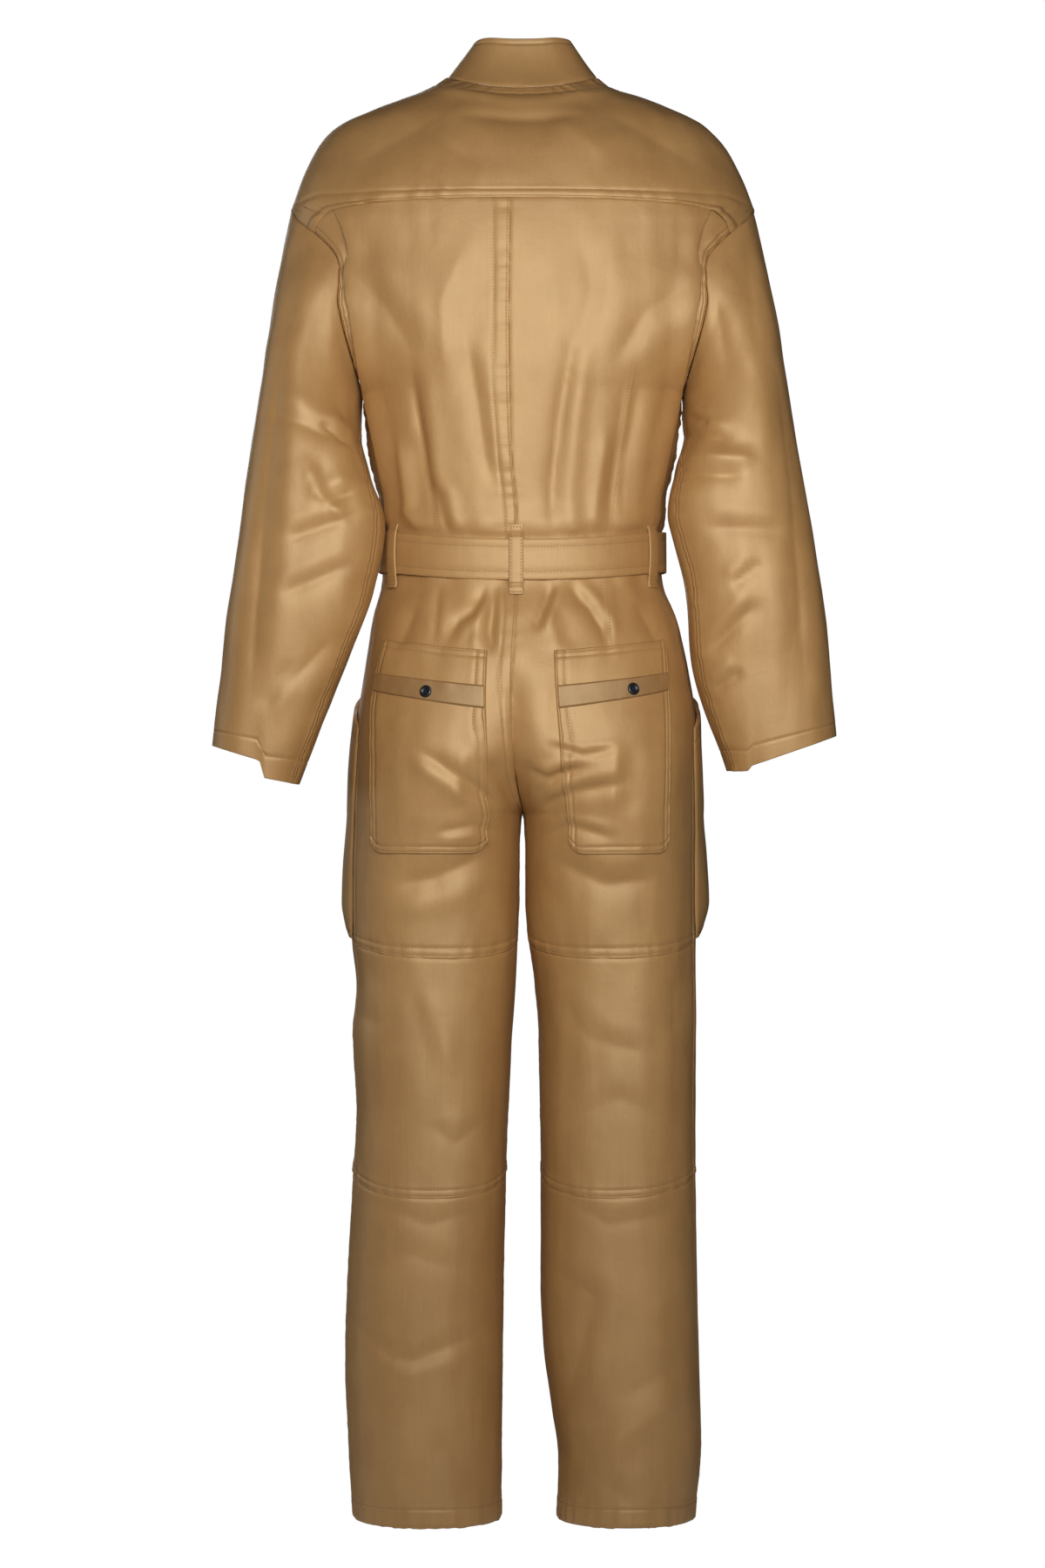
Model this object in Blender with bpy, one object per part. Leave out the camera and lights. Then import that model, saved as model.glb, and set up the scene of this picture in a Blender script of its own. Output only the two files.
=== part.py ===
"""Belted jumpsuit, worn by nobody: cut panels of thin cloth that keep the hollow shape of a general figure.

Metres, +Z up. The origin is where the wearer's shoulders carry the garment, level with the neck, and the
front faces -Y. The cloth is described by three hollow forms, each a stack of level or tilted sections:
the torso from the neck to the waist, the two legs, which are one hip above the crotch, and the sleeves.
Every cut piece is a patch of one of those forms, given a wall that goes inwards.
"""
import math

import bmesh
import bpy
import numpy as np

# ---------------------------------------------------------------- driving sizes
WALL = 0.0015            # thickness of every cloth wall
SEAM = 0.0004            # gap left between two pieces that are sewn together
LAID = 0.0003            # gap under a piece that lies on another
NECK_SIDE_Z = 0.020      # where the neck seam crosses the shoulder line
NECK_BACK_Z = 0.002
NECK_FRONT_Z = -0.055
YOKE_FRONT_NECK = 0.70              # how far round the neck, from the front to the shoulder, the yoke starts
SHOULDER_TIP = (0.2474, -0.123)     # x, z of the dropped armhole's top
UNDERARM = (0.171, -0.320)          # x, z of its lowest point
ARMHOLE_HALF_DEPTH = 0.083
ARMHOLE_SCOOP = 0.030               # how far the armhole's front and back edges curve inwards
SLEEVE_FLATNESS = 0.22              # how far a sleeve's section is squared, clear of the armhole
WAIST_Z = -0.492
CROTCH_Z = -0.765
HEM_Z = -1.514
KNEE_TOP_Z = (-0.900, -0.0165)      # upper knee seam: its ends, and how much lower its middle is
KNEE_LOW_Z = (-1.146, -0.022)
BELT_HEIGHT = 0.043
BELT_THICK = 0.002
BELT_STAND_OFF = 0.0042             # from the cloth at the waist to the belt's inner face
BELT_LAP_GAP = 0.0005               # between the two layers of the belt where it laps
BELT_TIP_NARROWING = 0.62           # height of the free end, as a part of the belt's
LOOP_WIDTH = 0.015
LOOP_REACH = 0.013                  # how far a belt loop runs past the belt, above and below
SNAP_RADIUS = 0.0066
SNAP_SIDES = 16
# A low domed button with a sunk middle: parts of its radius, and heights.
SNAP_PROFILE = (
    (0.0, 0.0), (1.0, 0.0), (1.0, 0.0011), (0.86, 0.0019), (0.62, 0.0021), (0.52, 0.0016), (0.0, 0.0016)
)

# Finishes: name, colour, roughness and, for metal, how metallic.
CLOTH_FINISH = ("cloth", (0.52, 0.36, 0.18), 0.55)
METAL_FINISH = ("gunmetal", (0.06, 0.065, 0.075), 0.35, 0.9)

ARMHOLE_STEPS = 8                   # pieces of each armhole edge, underarm to shoulder tip
YOKE_STEP = 6                       # the armhole step that the yoke seams run into
SIDE_STEPS = 5                      # from the underarm to the waist


def smooth(*points):
    """A curve through (position, value) points, given from top to bottom, with no overshoot between them."""
    at = np.array([p[0] for p in points][::-1])
    value = np.array([p[1] for p in points][::-1])
    step = np.diff(value) / np.diff(at)
    slope = np.zeros(len(at))
    slope[0], slope[-1] = step[0], step[-1]
    for i in range(1, len(at) - 1):
        if step[i - 1] * step[i] > 0:
            slope[i] = 2 / (1 / step[i - 1] + 1 / step[i])

    def curve(z):
        z = min(max(z, at[0]), at[-1])
        i = min(int(np.searchsorted(at, z, side="right")) - 1, len(at) - 2)
        run = at[i + 1] - at[i]
        t = (z - at[i]) / run
        return float(
            value[i] * (1 + 2 * t) * (1 - t) ** 2
            + run * slope[i] * t * (1 - t) ** 2
            + value[i + 1] * t * t * (3 - 2 * t)
            - run * slope[i + 1] * t * t * (1 - t)
        )

    return curve


# ---------------------------------------------------------------- torso sections
SHOULDER_POINTS = (
    (0.024, 0.0745), (0.011, 0.0925), (-0.011, 0.150), (-0.030, 0.193),
    (-0.050, 0.214), (-0.085, 0.2335), (-0.123, 0.2474),
)
SHOULDER_LINE = smooth(*SHOULDER_POINTS)
SHOULDER_HEIGHT = smooth(*[(x, z) for z, x in SHOULDER_POINTS[::-1]])
TORSO_SIDE = smooth(
    (-0.320, 0.171), (-0.370, 0.1655), (-0.400, 0.1600), (-0.425, 0.1535), (-0.455, 0.1475), (-0.492, 0.1475)
)
TORSO_BACK = smooth(
    (0.024, 0.050), (0.002, 0.062), (-0.030, 0.084), (-0.070, 0.104), (-0.120, 0.116), (-0.190, 0.121),
    (-0.270, 0.118), (-0.350, 0.109), (-0.430, 0.101), (-0.470, 0.0965), (-0.492, 0.096),
)
TORSO_FRONT = smooth(
    (0.024, 0.042), (0.0, 0.056), (-0.055, 0.080), (-0.100, 0.096), (-0.170, 0.110), (-0.260, 0.115),
    (-0.350, 0.110), (-0.430, 0.103), (-0.470, 0.0985), (-0.492, 0.098),
)
TORSO_SQUARENESS = smooth((0.024, 2.0), (-0.060, 2.0), (-0.120, 2.25), (-0.300, 2.4), (-0.492, 2.15))

# ---------------------------------------------------------------- hip and leg sections, +1 is the wearer's left
LEG_OUTER = {
    1: smooth(
        (-0.492, 0.1475), (-0.520, 0.1500), (-0.556, 0.1600), (-0.612, 0.1690), (-0.668, 0.1758), (-0.760, 0.1795),
        (-0.891, 0.1820), (-0.947, 0.1767), (-1.003, 0.1805), (-1.087, 0.1767), (-1.150, 0.1800), (-1.337, 0.1895),
        (-1.430, 0.1870), (-1.514, 0.1805),
    ),
    -1: smooth(
        (-0.492, 0.1475), (-0.520, 0.1510), (-0.556, 0.1640), (-0.612, 0.1770), (-0.668, 0.1850), (-0.891, 0.1855),
        (-1.143, 0.1830), (-1.337, 0.1880), (-1.430, 0.1890), (-1.514, 0.1810),
    ),
}
LEG_INNER = {
    1: smooth(
        (-0.765, 0.0), (-0.800, 0.0035), (-0.863, 0.0040), (-0.947, 0.0065), (-1.003, 0.0110), (-1.087, 0.0149),
        (-1.200, 0.0186), (-1.337, 0.0214), (-1.514, 0.0233),
    ),
    -1: smooth(
        (-0.765, 0.0), (-0.800, 0.0028), (-0.863, 0.0035), (-0.947, 0.0130), (-1.003, 0.0180), (-1.100, 0.0185),
        (-1.250, 0.0195), (-1.337, 0.0232), (-1.393, 0.0298), (-1.450, 0.0380), (-1.514, 0.0365),
    ),
}
LEG_BACK = smooth(
    (-0.492, 0.096), (-0.520, 0.099), (-0.560, 0.114), (-0.620, 0.130), (-0.690, 0.134), (-0.765, 0.119),
    (-0.850, 0.104), (-0.950, 0.098), (-1.150, 0.092), (-1.350, 0.090), (-1.514, 0.088),
)
LEG_FRONT = smooth(
    (-0.492, 0.098), (-0.520, 0.099), (-0.620, 0.104), (-0.690, 0.104), (-0.765, 0.101), (-0.850, 0.098),
    (-0.950, 0.094), (-1.150, 0.090), (-1.514, 0.086),
)
LEG_SQUARENESS = smooth((-0.492, 2.15), (-0.650, 2.3), (-0.900, 2.3), (-1.514, 2.2))
# How far the two legs' sections have parted: 0 is one hip, 1 is two legs that just touch.
BACK_PARTING = smooth((-0.492, 0.0), (-0.580, 0.0), (-0.640, 0.12), (-0.690, 0.38), (-0.730, 0.72), (-0.765, 1.0))
FRONT_PARTING = smooth((-0.492, 0.0), (-0.600, 0.0), (-0.660, 0.08), (-0.710, 0.38), (-0.745, 0.80), (-0.765, 1.0))
# The side seam sits behind the outermost line by this angle, in degrees.
SIDE_SEAM_ANGLE = {
    1: smooth((-0.492, 0.0), (-0.600, 14.0), (-0.900, 14.0), (-1.000, 4.0), (-1.514, 0.0)),
    -1: smooth((-0.492, 0.0), (-0.600, 14.0), (-1.514, 12.0)),
}

# ---------------------------------------------------------------- sleeve sections
# Each ring: its place along the sleeve, then x and z of its inner and outer edge, its middle's y, half its depth.
SLEEVE_RINGS = {
    1: (
        (0.00, *UNDERARM, *SHOULDER_TIP, 0.000, ARMHOLE_HALF_DEPTH),
        (0.17, 0.1712, -0.362, 0.2655, -0.215, 0.012, 0.084),
        (0.33, 0.1620, -0.405, 0.2800, -0.320, 0.036, 0.080),
        (0.50, 0.1455, -0.462, 0.2960, -0.440, 0.058, 0.068),
        (0.64, 0.1570, -0.528, 0.3075, -0.530, 0.060, 0.064),
        (0.80, 0.1890, -0.612, 0.3180, -0.612, 0.052, 0.062),
        (1.00, 0.2350, -0.734, 0.3290, -0.692, 0.042, 0.058),
    ),
    -1: (
        (0.00, *UNDERARM, *SHOULDER_TIP, 0.000, ARMHOLE_HALF_DEPTH),
        (0.17, 0.1712, -0.362, 0.2655, -0.215, 0.012, 0.084),
        (0.33, 0.1620, -0.405, 0.2820, -0.320, 0.036, 0.080),
        (0.50, 0.1530, -0.450, 0.3020, -0.440, 0.056, 0.068),
        (0.64, 0.1720, -0.530, 0.3145, -0.530, 0.058, 0.064),
        (0.80, 0.1800, -0.612, 0.3235, -0.612, 0.050, 0.062),
        (1.00, 0.2170, -0.719, 0.3310, -0.682, 0.042, 0.060),
    ),
}

# ---------------------------------------------------------------- the action pleats of the back
PLEAT_EDGE = smooth(
    (-0.131, 0.1955), (-0.165, 0.190), (-0.190, 0.186), (-0.229, 0.1815), (-0.313, 0.1655), (-0.371, 0.154),
    (-0.461, 0.139), (-0.492, 0.135),
)
PLEAT_RETURN = smooth((-0.120, 0.022), (-0.492, 0.014))
HALF_BACK = 0.22                    # half of the back's width, along the cloth
# The right side of the cloth lies this far out of the form on the overlap, on the return and under it.
OVERLAP_LIFT, RETURN_LIFT, UNDERLAP_LIFT = 0.0025, -0.0025, -0.0040
PLEAT_DROP = 0.0005                 # and starts this far under the yoke's seam

# The centre back seam hangs a little to the wearer's left.
LEAN = smooth(
    (0.020, 0.0), (-0.100, 0.011), (-0.250, 0.013), (-0.390, 0.010), (-0.455, 0.0055), (-0.530, 0.006),
    (-0.640, 0.011), (-0.720, 0.008), (-0.765, 0.0),
)
LEAN_REACH = 0.130                  # and takes the cloth this far to each side with it

# The shape of the armhole's curve inwards, by its turn.
SCOOP = smooth(
    (180.0, 0.0), (150.0, 0.15), (135.0, 0.55), (115.0, 1.0), (100.0, 0.75), (85.0, 0.4), (60.0, 0.2), (0.0, 0.0)
)


def ease(t):
    """0 to 1 with level ends."""
    t = min(max(t, 0.0), 1.0)
    return t * t * (3 - 2 * t)


def lean(p):
    """The point moved sideways with the hang of the back."""
    x, y, z = p
    across = max(0.0, 1 - (x / LEAN_REACH) ** 2) ** 2
    return (x + LEAN(z) * across * ease(y / 0.08), y, z)


def section(angle, half_width, depth_back, depth_front, squareness):
    """A point of a squared ellipse, at an angle from its outer end towards the back."""
    c, s = math.cos(math.radians(angle)), math.sin(math.radians(angle))
    power = 2 / squareness
    x = half_width * math.copysign(abs(c) ** power, c)
    depth = depth_back if s >= 0 else depth_front
    return x, depth * math.copysign(abs(s) ** power, s)


def armhole(turn):
    """A point of the armhole's edge: turn 0 is the underarm, 180 the shoulder tip, and under 180 is the back."""
    c, s = math.cos(math.radians(turn)), math.sin(math.radians(turn))
    z = (UNDERARM[1] + SHOULDER_TIP[1]) / 2 + (UNDERARM[1] - SHOULDER_TIP[1]) / 2 * c
    x = (UNDERARM[0] + SHOULDER_TIP[0]) / 2 + (UNDERARM[0] - SHOULDER_TIP[0]) / 2 * c
    return x - ARMHOLE_SCOOP * SCOOP(min(turn, 360 - turn)), ARMHOLE_HALF_DEPTH * s, z


def armhole_turn(z):
    """The turn, 0 to 180, at which the armhole's edge has this height."""
    middle, half = (UNDERARM[1] + SHOULDER_TIP[1]) / 2, (UNDERARM[1] - SHOULDER_TIP[1]) / 2
    return math.degrees(math.acos(min(max((z - middle) / half, -1.0), 1.0)))


def torso_section(face, z):
    """Half width, depth and squareness of the torso at this height, and the angle at which the armhole cuts it."""
    depth, squareness = (TORSO_BACK if face > 0 else TORSO_FRONT)(z), TORSO_SQUARENESS(z)
    if z >= SHOULDER_TIP[1]:
        return SHOULDER_LINE(z), depth, squareness, 0.0
    if z <= UNDERARM[1]:
        return TORSO_SIDE(z), depth, squareness, 0.0
    x, y, _ = armhole(armhole_turn(z))
    half_width = x / (1 - (y / depth) ** squareness) ** (1 / squareness)
    return half_width, depth, squareness, math.degrees(math.asin((y / depth) ** (squareness / 2)))


def torso(side, face, u, z):
    """A point of the torso: u 0 is the centre line and 1 the shoulder line, armhole or side. face 1 is the back."""
    half_width, depth, squareness, end = torso_section(face, z)
    x, y = section(90 + u * (end - 90), half_width, depth, depth, squareness)
    return side * x, face * y, z


def torso_u(face, x, z):
    """The u at which the torso has this half width."""
    half_width, _, squareness, end = torso_section(face, z)
    angle = math.degrees(math.acos(min(1.0, (x / half_width) ** (squareness / 2))))
    return (angle - 90) / (end - 90)


def leg_section(side, face, z):
    """Middle, half width, squareness, and the angles of the centre seam or inseam and of the side seam."""
    outer, squareness = LEG_OUTER[side](z), LEG_SQUARENESS(z)
    if z > CROTCH_Z:
        parting = (BACK_PARTING if face > 0 else FRONT_PARTING)(z)
        middle, half_width = outer * parting / (1 + parting), outer / (1 + parting)
        start = 180 - math.degrees(math.acos(min(1.0, parting ** (squareness / 2))))
    else:
        inner = LEG_INNER[side](z)
        middle, half_width, start = (outer + inner) / 2, (outer - inner) / 2, 180.0
    return middle, half_width, squareness, face * start, SIDE_SEAM_ANGLE[side](z)


def leg(side, face, u, z):
    """A point of the hip or leg: u 0 is the centre seam or inseam, 1 the side seam. face 1 is the back."""
    middle, half_width, squareness, start, end = leg_section(side, face, z)
    x, y = section(start + u * (end - start), half_width, LEG_BACK(z), LEG_FRONT(z), squareness)
    return side * (middle + x), y, z


def leg_u(side, x, z):
    """The u at which the back of the hip or leg is this far from the centre line."""
    middle, half_width, squareness, start, end = leg_section(side, 1, z)
    out = min(max((x - middle) / half_width, -1.0), 1.0)
    angle = math.degrees(math.acos(math.copysign(abs(out) ** (squareness / 2), out)))
    return (angle - start) / (end - start)


def sleeve(side, turn, along):
    """A point of the sleeve: turn 0 is its seam, on the inside of the arm, and 180 its outer edge."""
    rings = SLEEVE_RINGS[side]
    if along == 0.0:
        x, y, z = armhole(turn)
        return side * x, y, z
    # smooth() takes its points from the highest position down
    x_in, z_in, x_out, z_out, y_mid, depth = (
        smooth(*[(ring[0], ring[k]) for ring in reversed(rings)])(along) for k in range(1, 7)
    )
    c, s = math.cos(math.radians(turn)), math.sin(math.radians(turn))
    power = 1 - SLEEVE_FLATNESS * ease(along / 0.25)
    c, s = math.copysign(abs(c) ** power, c), math.copysign(abs(s) ** power, s)
    scoop = ARMHOLE_SCOOP * SCOOP(min(turn, 360 - turn)) * max(0.0, 1 - along / rings[1][0]) ** 2
    x = (x_in + x_out) / 2 + (x_in - x_out) / 2 * c - scoop
    z = (z_in + z_out) / 2 + (z_in - z_out) / 2 * c
    return side * x, y_mid + depth * s, z


# ---------------------------------------------------------------- seam lines on the forms
def neck_z(face, s):
    """Height of the neck seam: s 0 is the centre line and 1 the shoulder line."""
    low = NECK_BACK_Z if face > 0 else NECK_FRONT_Z
    return NECK_SIDE_Z + (low - NECK_SIDE_Z) * math.sin(math.radians(90 * (1 - s))) ** 1.6


YOKE_CENTRE_Z, YOKE_PLEAT_Z = -0.1205, -0.1300      # the back yoke seam's height in the middle and at the pleat
YOKE_PLEAT_U = 0.69


def yoke_seam_z(u):
    """Height of the seam under the back yoke. It falls away past the pleat to meet the armhole."""
    if u < YOKE_PLEAT_U:
        return YOKE_CENTRE_Z + (YOKE_PLEAT_Z - YOKE_CENTRE_Z) * (u / YOKE_PLEAT_U) ** 2
    corner = armhole(180 / ARMHOLE_STEPS * YOKE_STEP)[2]
    return YOKE_PLEAT_Z + (corner - YOKE_PLEAT_Z) * ((u - YOKE_PLEAT_U) / (1 - YOKE_PLEAT_U))


def neck_place(face, s):
    """(u, z) on the neck seam: s 0 is the centre line and 1 the shoulder line."""
    z = neck_z(face, s)
    return torso_u(face, SHOULDER_LINE(NECK_SIDE_Z) * math.sin(math.radians(90 * s)), z), z


def yoke_front(t):
    """(u, z) of the yoke's front seam on the torso's front, from the neck (0) to the armhole (1)."""
    u, start = neck_place(-1, YOKE_FRONT_NECK)
    x_neck, _, _ = torso(1, -1, u, start)
    x_corner, _, corner = armhole(180 / ARMHOLE_STEPS * YOKE_STEP)
    if t == 1.0:
        return 1.0, corner
    z = start + (corner - start) * (0.35 * t + 0.65 * t**2.2)
    return torso_u(-1, x_neck + (x_corner - x_neck) * t, z), z


def armhole_heights(first, last):
    """Heights of the armhole's steps, in the order asked for."""
    step = 1 if last > first else -1
    return [armhole(180 / ARMHOLE_STEPS * k)[2] for k in range(first, last + step, step)]


# ---------------------------------------------------------------- cloth pieces
SKINS = {}          # name: points on the right side of the cloth, whether rows close, and which way is out


def skin(name, rows, ring=False, inside=None):
    """Keeps a grid of points. inside is a point in plan that the cloth goes round, or a ring's own middle."""
    grid = np.array([[lean(p) for p in row] for row in rows])
    middle = grid.mean(axis=1, keepdims=True)
    if inside is not None:
        middle[..., 0], middle[..., 1] = inside
    away = (grid - middle)[:-1, : None if ring else -1]
    sign = math.copysign(1.0, float((face_normals(grid, ring) * away).sum()))
    SKINS[name] = (grid, ring, sign)


def rounded(p):
    return tuple(np.round(p, 6) + 0.0)


def face_normals(grid, ring):
    """The normal of each four-sided cell of a grid of points."""
    across = np.roll(grid, -1, axis=1) if ring else grid[:, 1:]
    here = grid if ring else grid[:, :-1]
    return np.cross(across[1:] - here[:-1], here[1:] - across[:-1])


def outward():
    """The outward direction at the points of every skin, shared by pieces that are sewn together there."""
    own, total = {}, {}
    for name, (grid, ring, sign) in SKINS.items():
        normals = sign * face_normals(grid, ring)
        columns = grid.shape[1]
        own[name] = np.zeros_like(grid)
        for i, j in np.ndindex(normals.shape[:2]):
            for a, b in ((i, j), (i + 1, j), (i, (j + 1) % columns), (i + 1, (j + 1) % columns)):
                own[name][a, b] += normals[i, j]
        for p, n in zip(grid.reshape(-1, 3), own[name].reshape(-1, 3)):
            total[rounded(p)] = total.get(rounded(p), 0) + n
    for name, (grid, _, _) in SKINS.items():
        mine = own[name] / np.linalg.norm(own[name], axis=2, keepdims=True)
        shared = np.array([[total[rounded(p)] for p in row] for row in grid])
        shared = shared / np.maximum(np.linalg.norm(shared, axis=2, keepdims=True), 1e-12)
        agree = (mine * shared).sum(axis=2, keepdims=True) > 0.35
        own[name] = np.where(agree, shared, mine)
    return own


def drawn_in(grid, ring, gap):
    """The grid with its edges drawn in by half a seam's gap."""
    grid = grid.copy()

    def pull(edge, inner):
        way = inner - edge
        return edge + way / np.linalg.norm(way, axis=1, keepdims=True) * gap / 2

    top, bottom = pull(grid[0], grid[1]), pull(grid[-1], grid[-2])
    if not ring:
        left, right = pull(grid[:, 0], grid[:, 1]), pull(grid[:, -1], grid[:, -2])
        top[0] += left[0] - grid[0, 0]
        top[-1] += right[0] - grid[0, -1]
        bottom[0] += left[-1] - grid[-1, 0]
        bottom[-1] += right[-1] - grid[-1, -1]
        grid[:, 0], grid[:, -1] = left, right
    grid[0], grid[-1] = top, bottom
    return grid


def material(name, color, roughness, metallic=0.0):
    made = bpy.data.materials.new(name)
    made.use_nodes = True
    shader = made.node_tree.nodes["Principled BSDF"]
    shader.inputs["Base Color"].default_value = (*color, 1.0)
    shader.inputs["Roughness"].default_value = roughness
    shader.inputs["Metallic"].default_value = metallic
    return made


def link(name, bm, finish):
    """An object with this surface and a material of its own. Only its curved stretches are shaded smooth."""
    bmesh.ops.recalc_face_normals(bm, faces=bm.faces)
    mesh = bpy.data.meshes.new(name)
    bm.to_mesh(mesh)
    bm.free()
    kind, *look = finish
    mesh.materials.append(material(f"{name}_{kind}", *look))
    mesh.shade_smooth()
    mesh.set_sharp_from_angle(angle=math.radians(40))
    bpy.context.scene.collection.objects.link(bpy.data.objects.new(name, mesh))


def falls(a, b, c, d):
    """Whether the four-sided cell a, b, c, d is split from a to c: it is, unless b to d is clearly shorter."""
    return np.linalg.norm(a - c) < 1.08 * np.linalg.norm(b - d)


def shell(name, outer, inner, ring=False, finish=CLOTH_FINISH):
    """A closed wall between two grids of points, ring when each row closes on itself."""
    bm = bmesh.new()
    rows, columns = outer.shape[:2]
    faces = [[[bm.verts.new(p) for p in row] for row in grid] for grid in (outer, inner)]
    last = columns if ring else columns - 1
    for grid, turned in zip(faces, (False, True)):
        for i in range(rows - 1):
            for j in range(last):
                k = (j + 1) % columns
                a, b, c, d = grid[i][j], grid[i + 1][j], grid[i + 1][k], grid[i][k]
                if falls(outer[i, j], outer[i + 1, j], outer[i + 1, k], outer[i, k]):
                    cells = ((a, b, c), (a, c, d))
                else:
                    cells = ((a, b, d), (b, c, d))
                for cell in cells:
                    bm.faces.new(cell[::-1] if turned else cell)
    edge = [(0, j, 0, (j + 1) % columns) for j in range(last)]
    edge += [(rows - 1, (j + 1) % columns, rows - 1, j) for j in range(last)]
    if not ring:
        edge += [(i + 1, 0, i, 0) for i in range(rows - 1)]
        edge += [(i, columns - 1, i + 1, columns - 1) for i in range(rows - 1)]
    for a, b, c, d in edge:
        bm.faces.new([faces[0][a][b], faces[0][c][d], faces[1][c][d], faces[1][a][b]])
    link(name, bm, finish)


def form_normal(form, a, b):
    """The direction square to a form at its place (a, b), either way round."""
    step = 1e-4
    a_low, a_high = (a - step, a) if a > 0.999 else (a, a + step)
    p, q = np.array(form(a_high, b)), np.array(form(a_low, b))
    r, t = np.array(form(a, b - step)), np.array(form(a, b + step))
    n = np.cross(p - q, t - r)
    return n / np.linalg.norm(n)


# ---------------------------------------------------------------- bodice and sleeves
BODICE_LEVELS = armhole_heights(YOKE_STEP, 0) + list(
    np.linspace(UNDERARM[1], WAIST_Z, SIDE_STEPS + 1)[1:]
)
SIDES = {"left": 1, "right": -1}
FRONT_NECK = (0.0, 0.175, 0.35, 0.525)      # where the front panel's columns start on the neck seam
YOKE_RINGS = (0.0, 0.2, 0.4, 0.6, 0.8, 1.0)


def bodice_z(row, top):
    """Height of a row of a bodice panel in the column that starts at height top."""
    corner, under = BODICE_LEVELS[0], BODICE_LEVELS[YOKE_STEP]
    if row > YOKE_STEP:
        return BODICE_LEVELS[row]
    return top + (BODICE_LEVELS[row] - corner) / (under - corner) * (under - top)


def pleat_us(row):
    """The u of the pleat's outer and inner fold in a row of the back panel."""
    z = bodice_z(row, YOKE_PLEAT_Z)
    edge = torso_u(1, PLEAT_EDGE(z), z)
    return edge, edge - PLEAT_RETURN(z) / HALF_BACK


def back_columns(row):
    """(u, how far out of the form) for the columns of a back panel, from the centre to the armhole or side."""
    edge, inner = pleat_us(row)
    return (
        (0.0, 0.0), (0.25 * inner, 0.0), (0.5 * inner, 0.0), (0.75 * inner, 0.0), (inner, 0.0012),
        (edge, OVERLAP_LIFT), (edge, RETURN_LIFT), (inner, RETURN_LIFT), (inner, UNDERLAP_LIFT),
        (edge, UNDERLAP_LIFT), ((1 + edge) / 2, -0.0015), (1.0, 0.0),
    )


def add_back(name, side):
    def form(u, z):
        return torso(side, 1, u, z)

    rows = []
    for k in range(len(BODICE_LEVELS)):
        row = []
        for u, lift in back_columns(k):
            z = bodice_z(k, yoke_seam_z(u))
            if k == 0 and lift:
                z -= PLEAT_DROP
            p = np.array(form(u, z))
            if lift:
                out = form_normal(form, u, z)
                p = p + lift * out * math.copysign(1.0, out[1])
            row.append(tuple(p))
        rows.append(row)
    skin(name, rows, inside=(0.0, -0.02))


def front_top():
    """(u, z) of the top of a front panel's columns: along the neck, then along the yoke."""
    neck = [neck_place(-1, s) for s in FRONT_NECK]
    return neck + [yoke_front(t) for t in YOKE_RINGS]


def add_front(name, side):
    top = front_top()
    rows = []
    for k in range(len(BODICE_LEVELS)):
        row = []
        for j, (u_top, z_top) in enumerate(top):
            u_low = j / (len(top) - 1)
            u = u_top + (u_low - u_top) * ease(k / YOKE_STEP)
            row.append(torso(side, -1, u, bodice_z(k, z_top)))
        rows.append(row)
    skin(name, rows, inside=(0.0, 0.0))


def yoke_columns():
    """(face, place on the neck, u and z at the outer edge) from the centre back to the front seam."""
    edge, inner = pleat_us(0)
    steps = armhole_heights(YOKE_STEP, ARMHOLE_STEPS)
    seam = [0.0, 0.25 * inner, 0.5 * inner, 0.75 * inner, inner, edge, (1 + edge) / 2]
    outer = [(1, u, yoke_seam_z(u)) for u in seam] + [(1, 1.0, z) for z in steps]
    columns = [(face, k / (len(outer) - 1), u, z) for k, (face, u, z) in enumerate(outer)]
    return columns + [(-1, 0.85, 1.0, steps[1]), (-1, YOKE_FRONT_NECK, 1.0, steps[0])]


def yoke_point(side, column, r):
    face, s, u_edge, z_edge = column
    if face < 0 and s == YOKE_FRONT_NECK:
        u, z = yoke_front(r)
        return torso(side, -1, u, z)
    start, tip = SHOULDER_LINE(NECK_SIDE_Z), SHOULDER_TIP[0]
    level = SHOULDER_HEIGHT(start + (tip - start) * r)
    along_shoulder = (NECK_SIDE_Z - level) / (NECK_SIDE_Z - SHOULDER_TIP[1])
    weight = s**2
    u_neck, z_neck = neck_place(face, s)
    z = z_neck + (z_edge - z_neck) * ((1 - weight) * r + weight * along_shoulder)
    return torso(side, face, u_neck + (u_edge - u_neck) * r, z)


def add_yoke():
    columns = yoke_columns()
    rows = []
    for r in YOKE_RINGS:
        left = [yoke_point(1, c, r) for c in columns]
        right = [yoke_point(-1, c, r) for c in columns]
        rows.append(left[::-1] + right[1:])
    skin("yoke", rows, inside=(0.0, 0.0))


COLLAR_TOP_HALF_WIDTH, COLLAR_TOP_BACK, COLLAR_TOP_FRONT = 0.0485, 0.044, 0.072
COLLAR_TOP_Z = smooth((1.0, 0.058), (0.0, 0.050), (-0.6, 0.010), (-1.0, -0.020))     # by back (1) to front (-1)
COLLAR_STEPS = (0.0, 0.35, 0.7, 1.0)


def add_collar():
    around = [(-1, s) for s in FRONT_NECK]
    around += [(face, s) for face, s, _, _ in yoke_columns()[::-1]]
    rows = []
    for t in COLLAR_STEPS:
        row = {}
        for side in (1, -1):
            row[side] = []
            for face, s in around:
                base = np.array(torso(side, face, *neck_place(face, s)))
                angle = math.radians(90 * (1 - s))
                depth = COLLAR_TOP_BACK if face > 0 else COLLAR_TOP_FRONT
                back = face * math.sin(angle)
                top = np.array((side * COLLAR_TOP_HALF_WIDTH * math.cos(angle), depth * back, COLLAR_TOP_Z(back)))
                bow = -0.004 * math.sin(math.pi * t) * max(0.0, back)
                row[side].append(tuple(base + (top - base) * t + np.array((0, bow, 0))))
        rows.append(row[1] + row[-1][::-1][1:])
    skin("collar", rows, inside=(0.0, 0.0))


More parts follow.
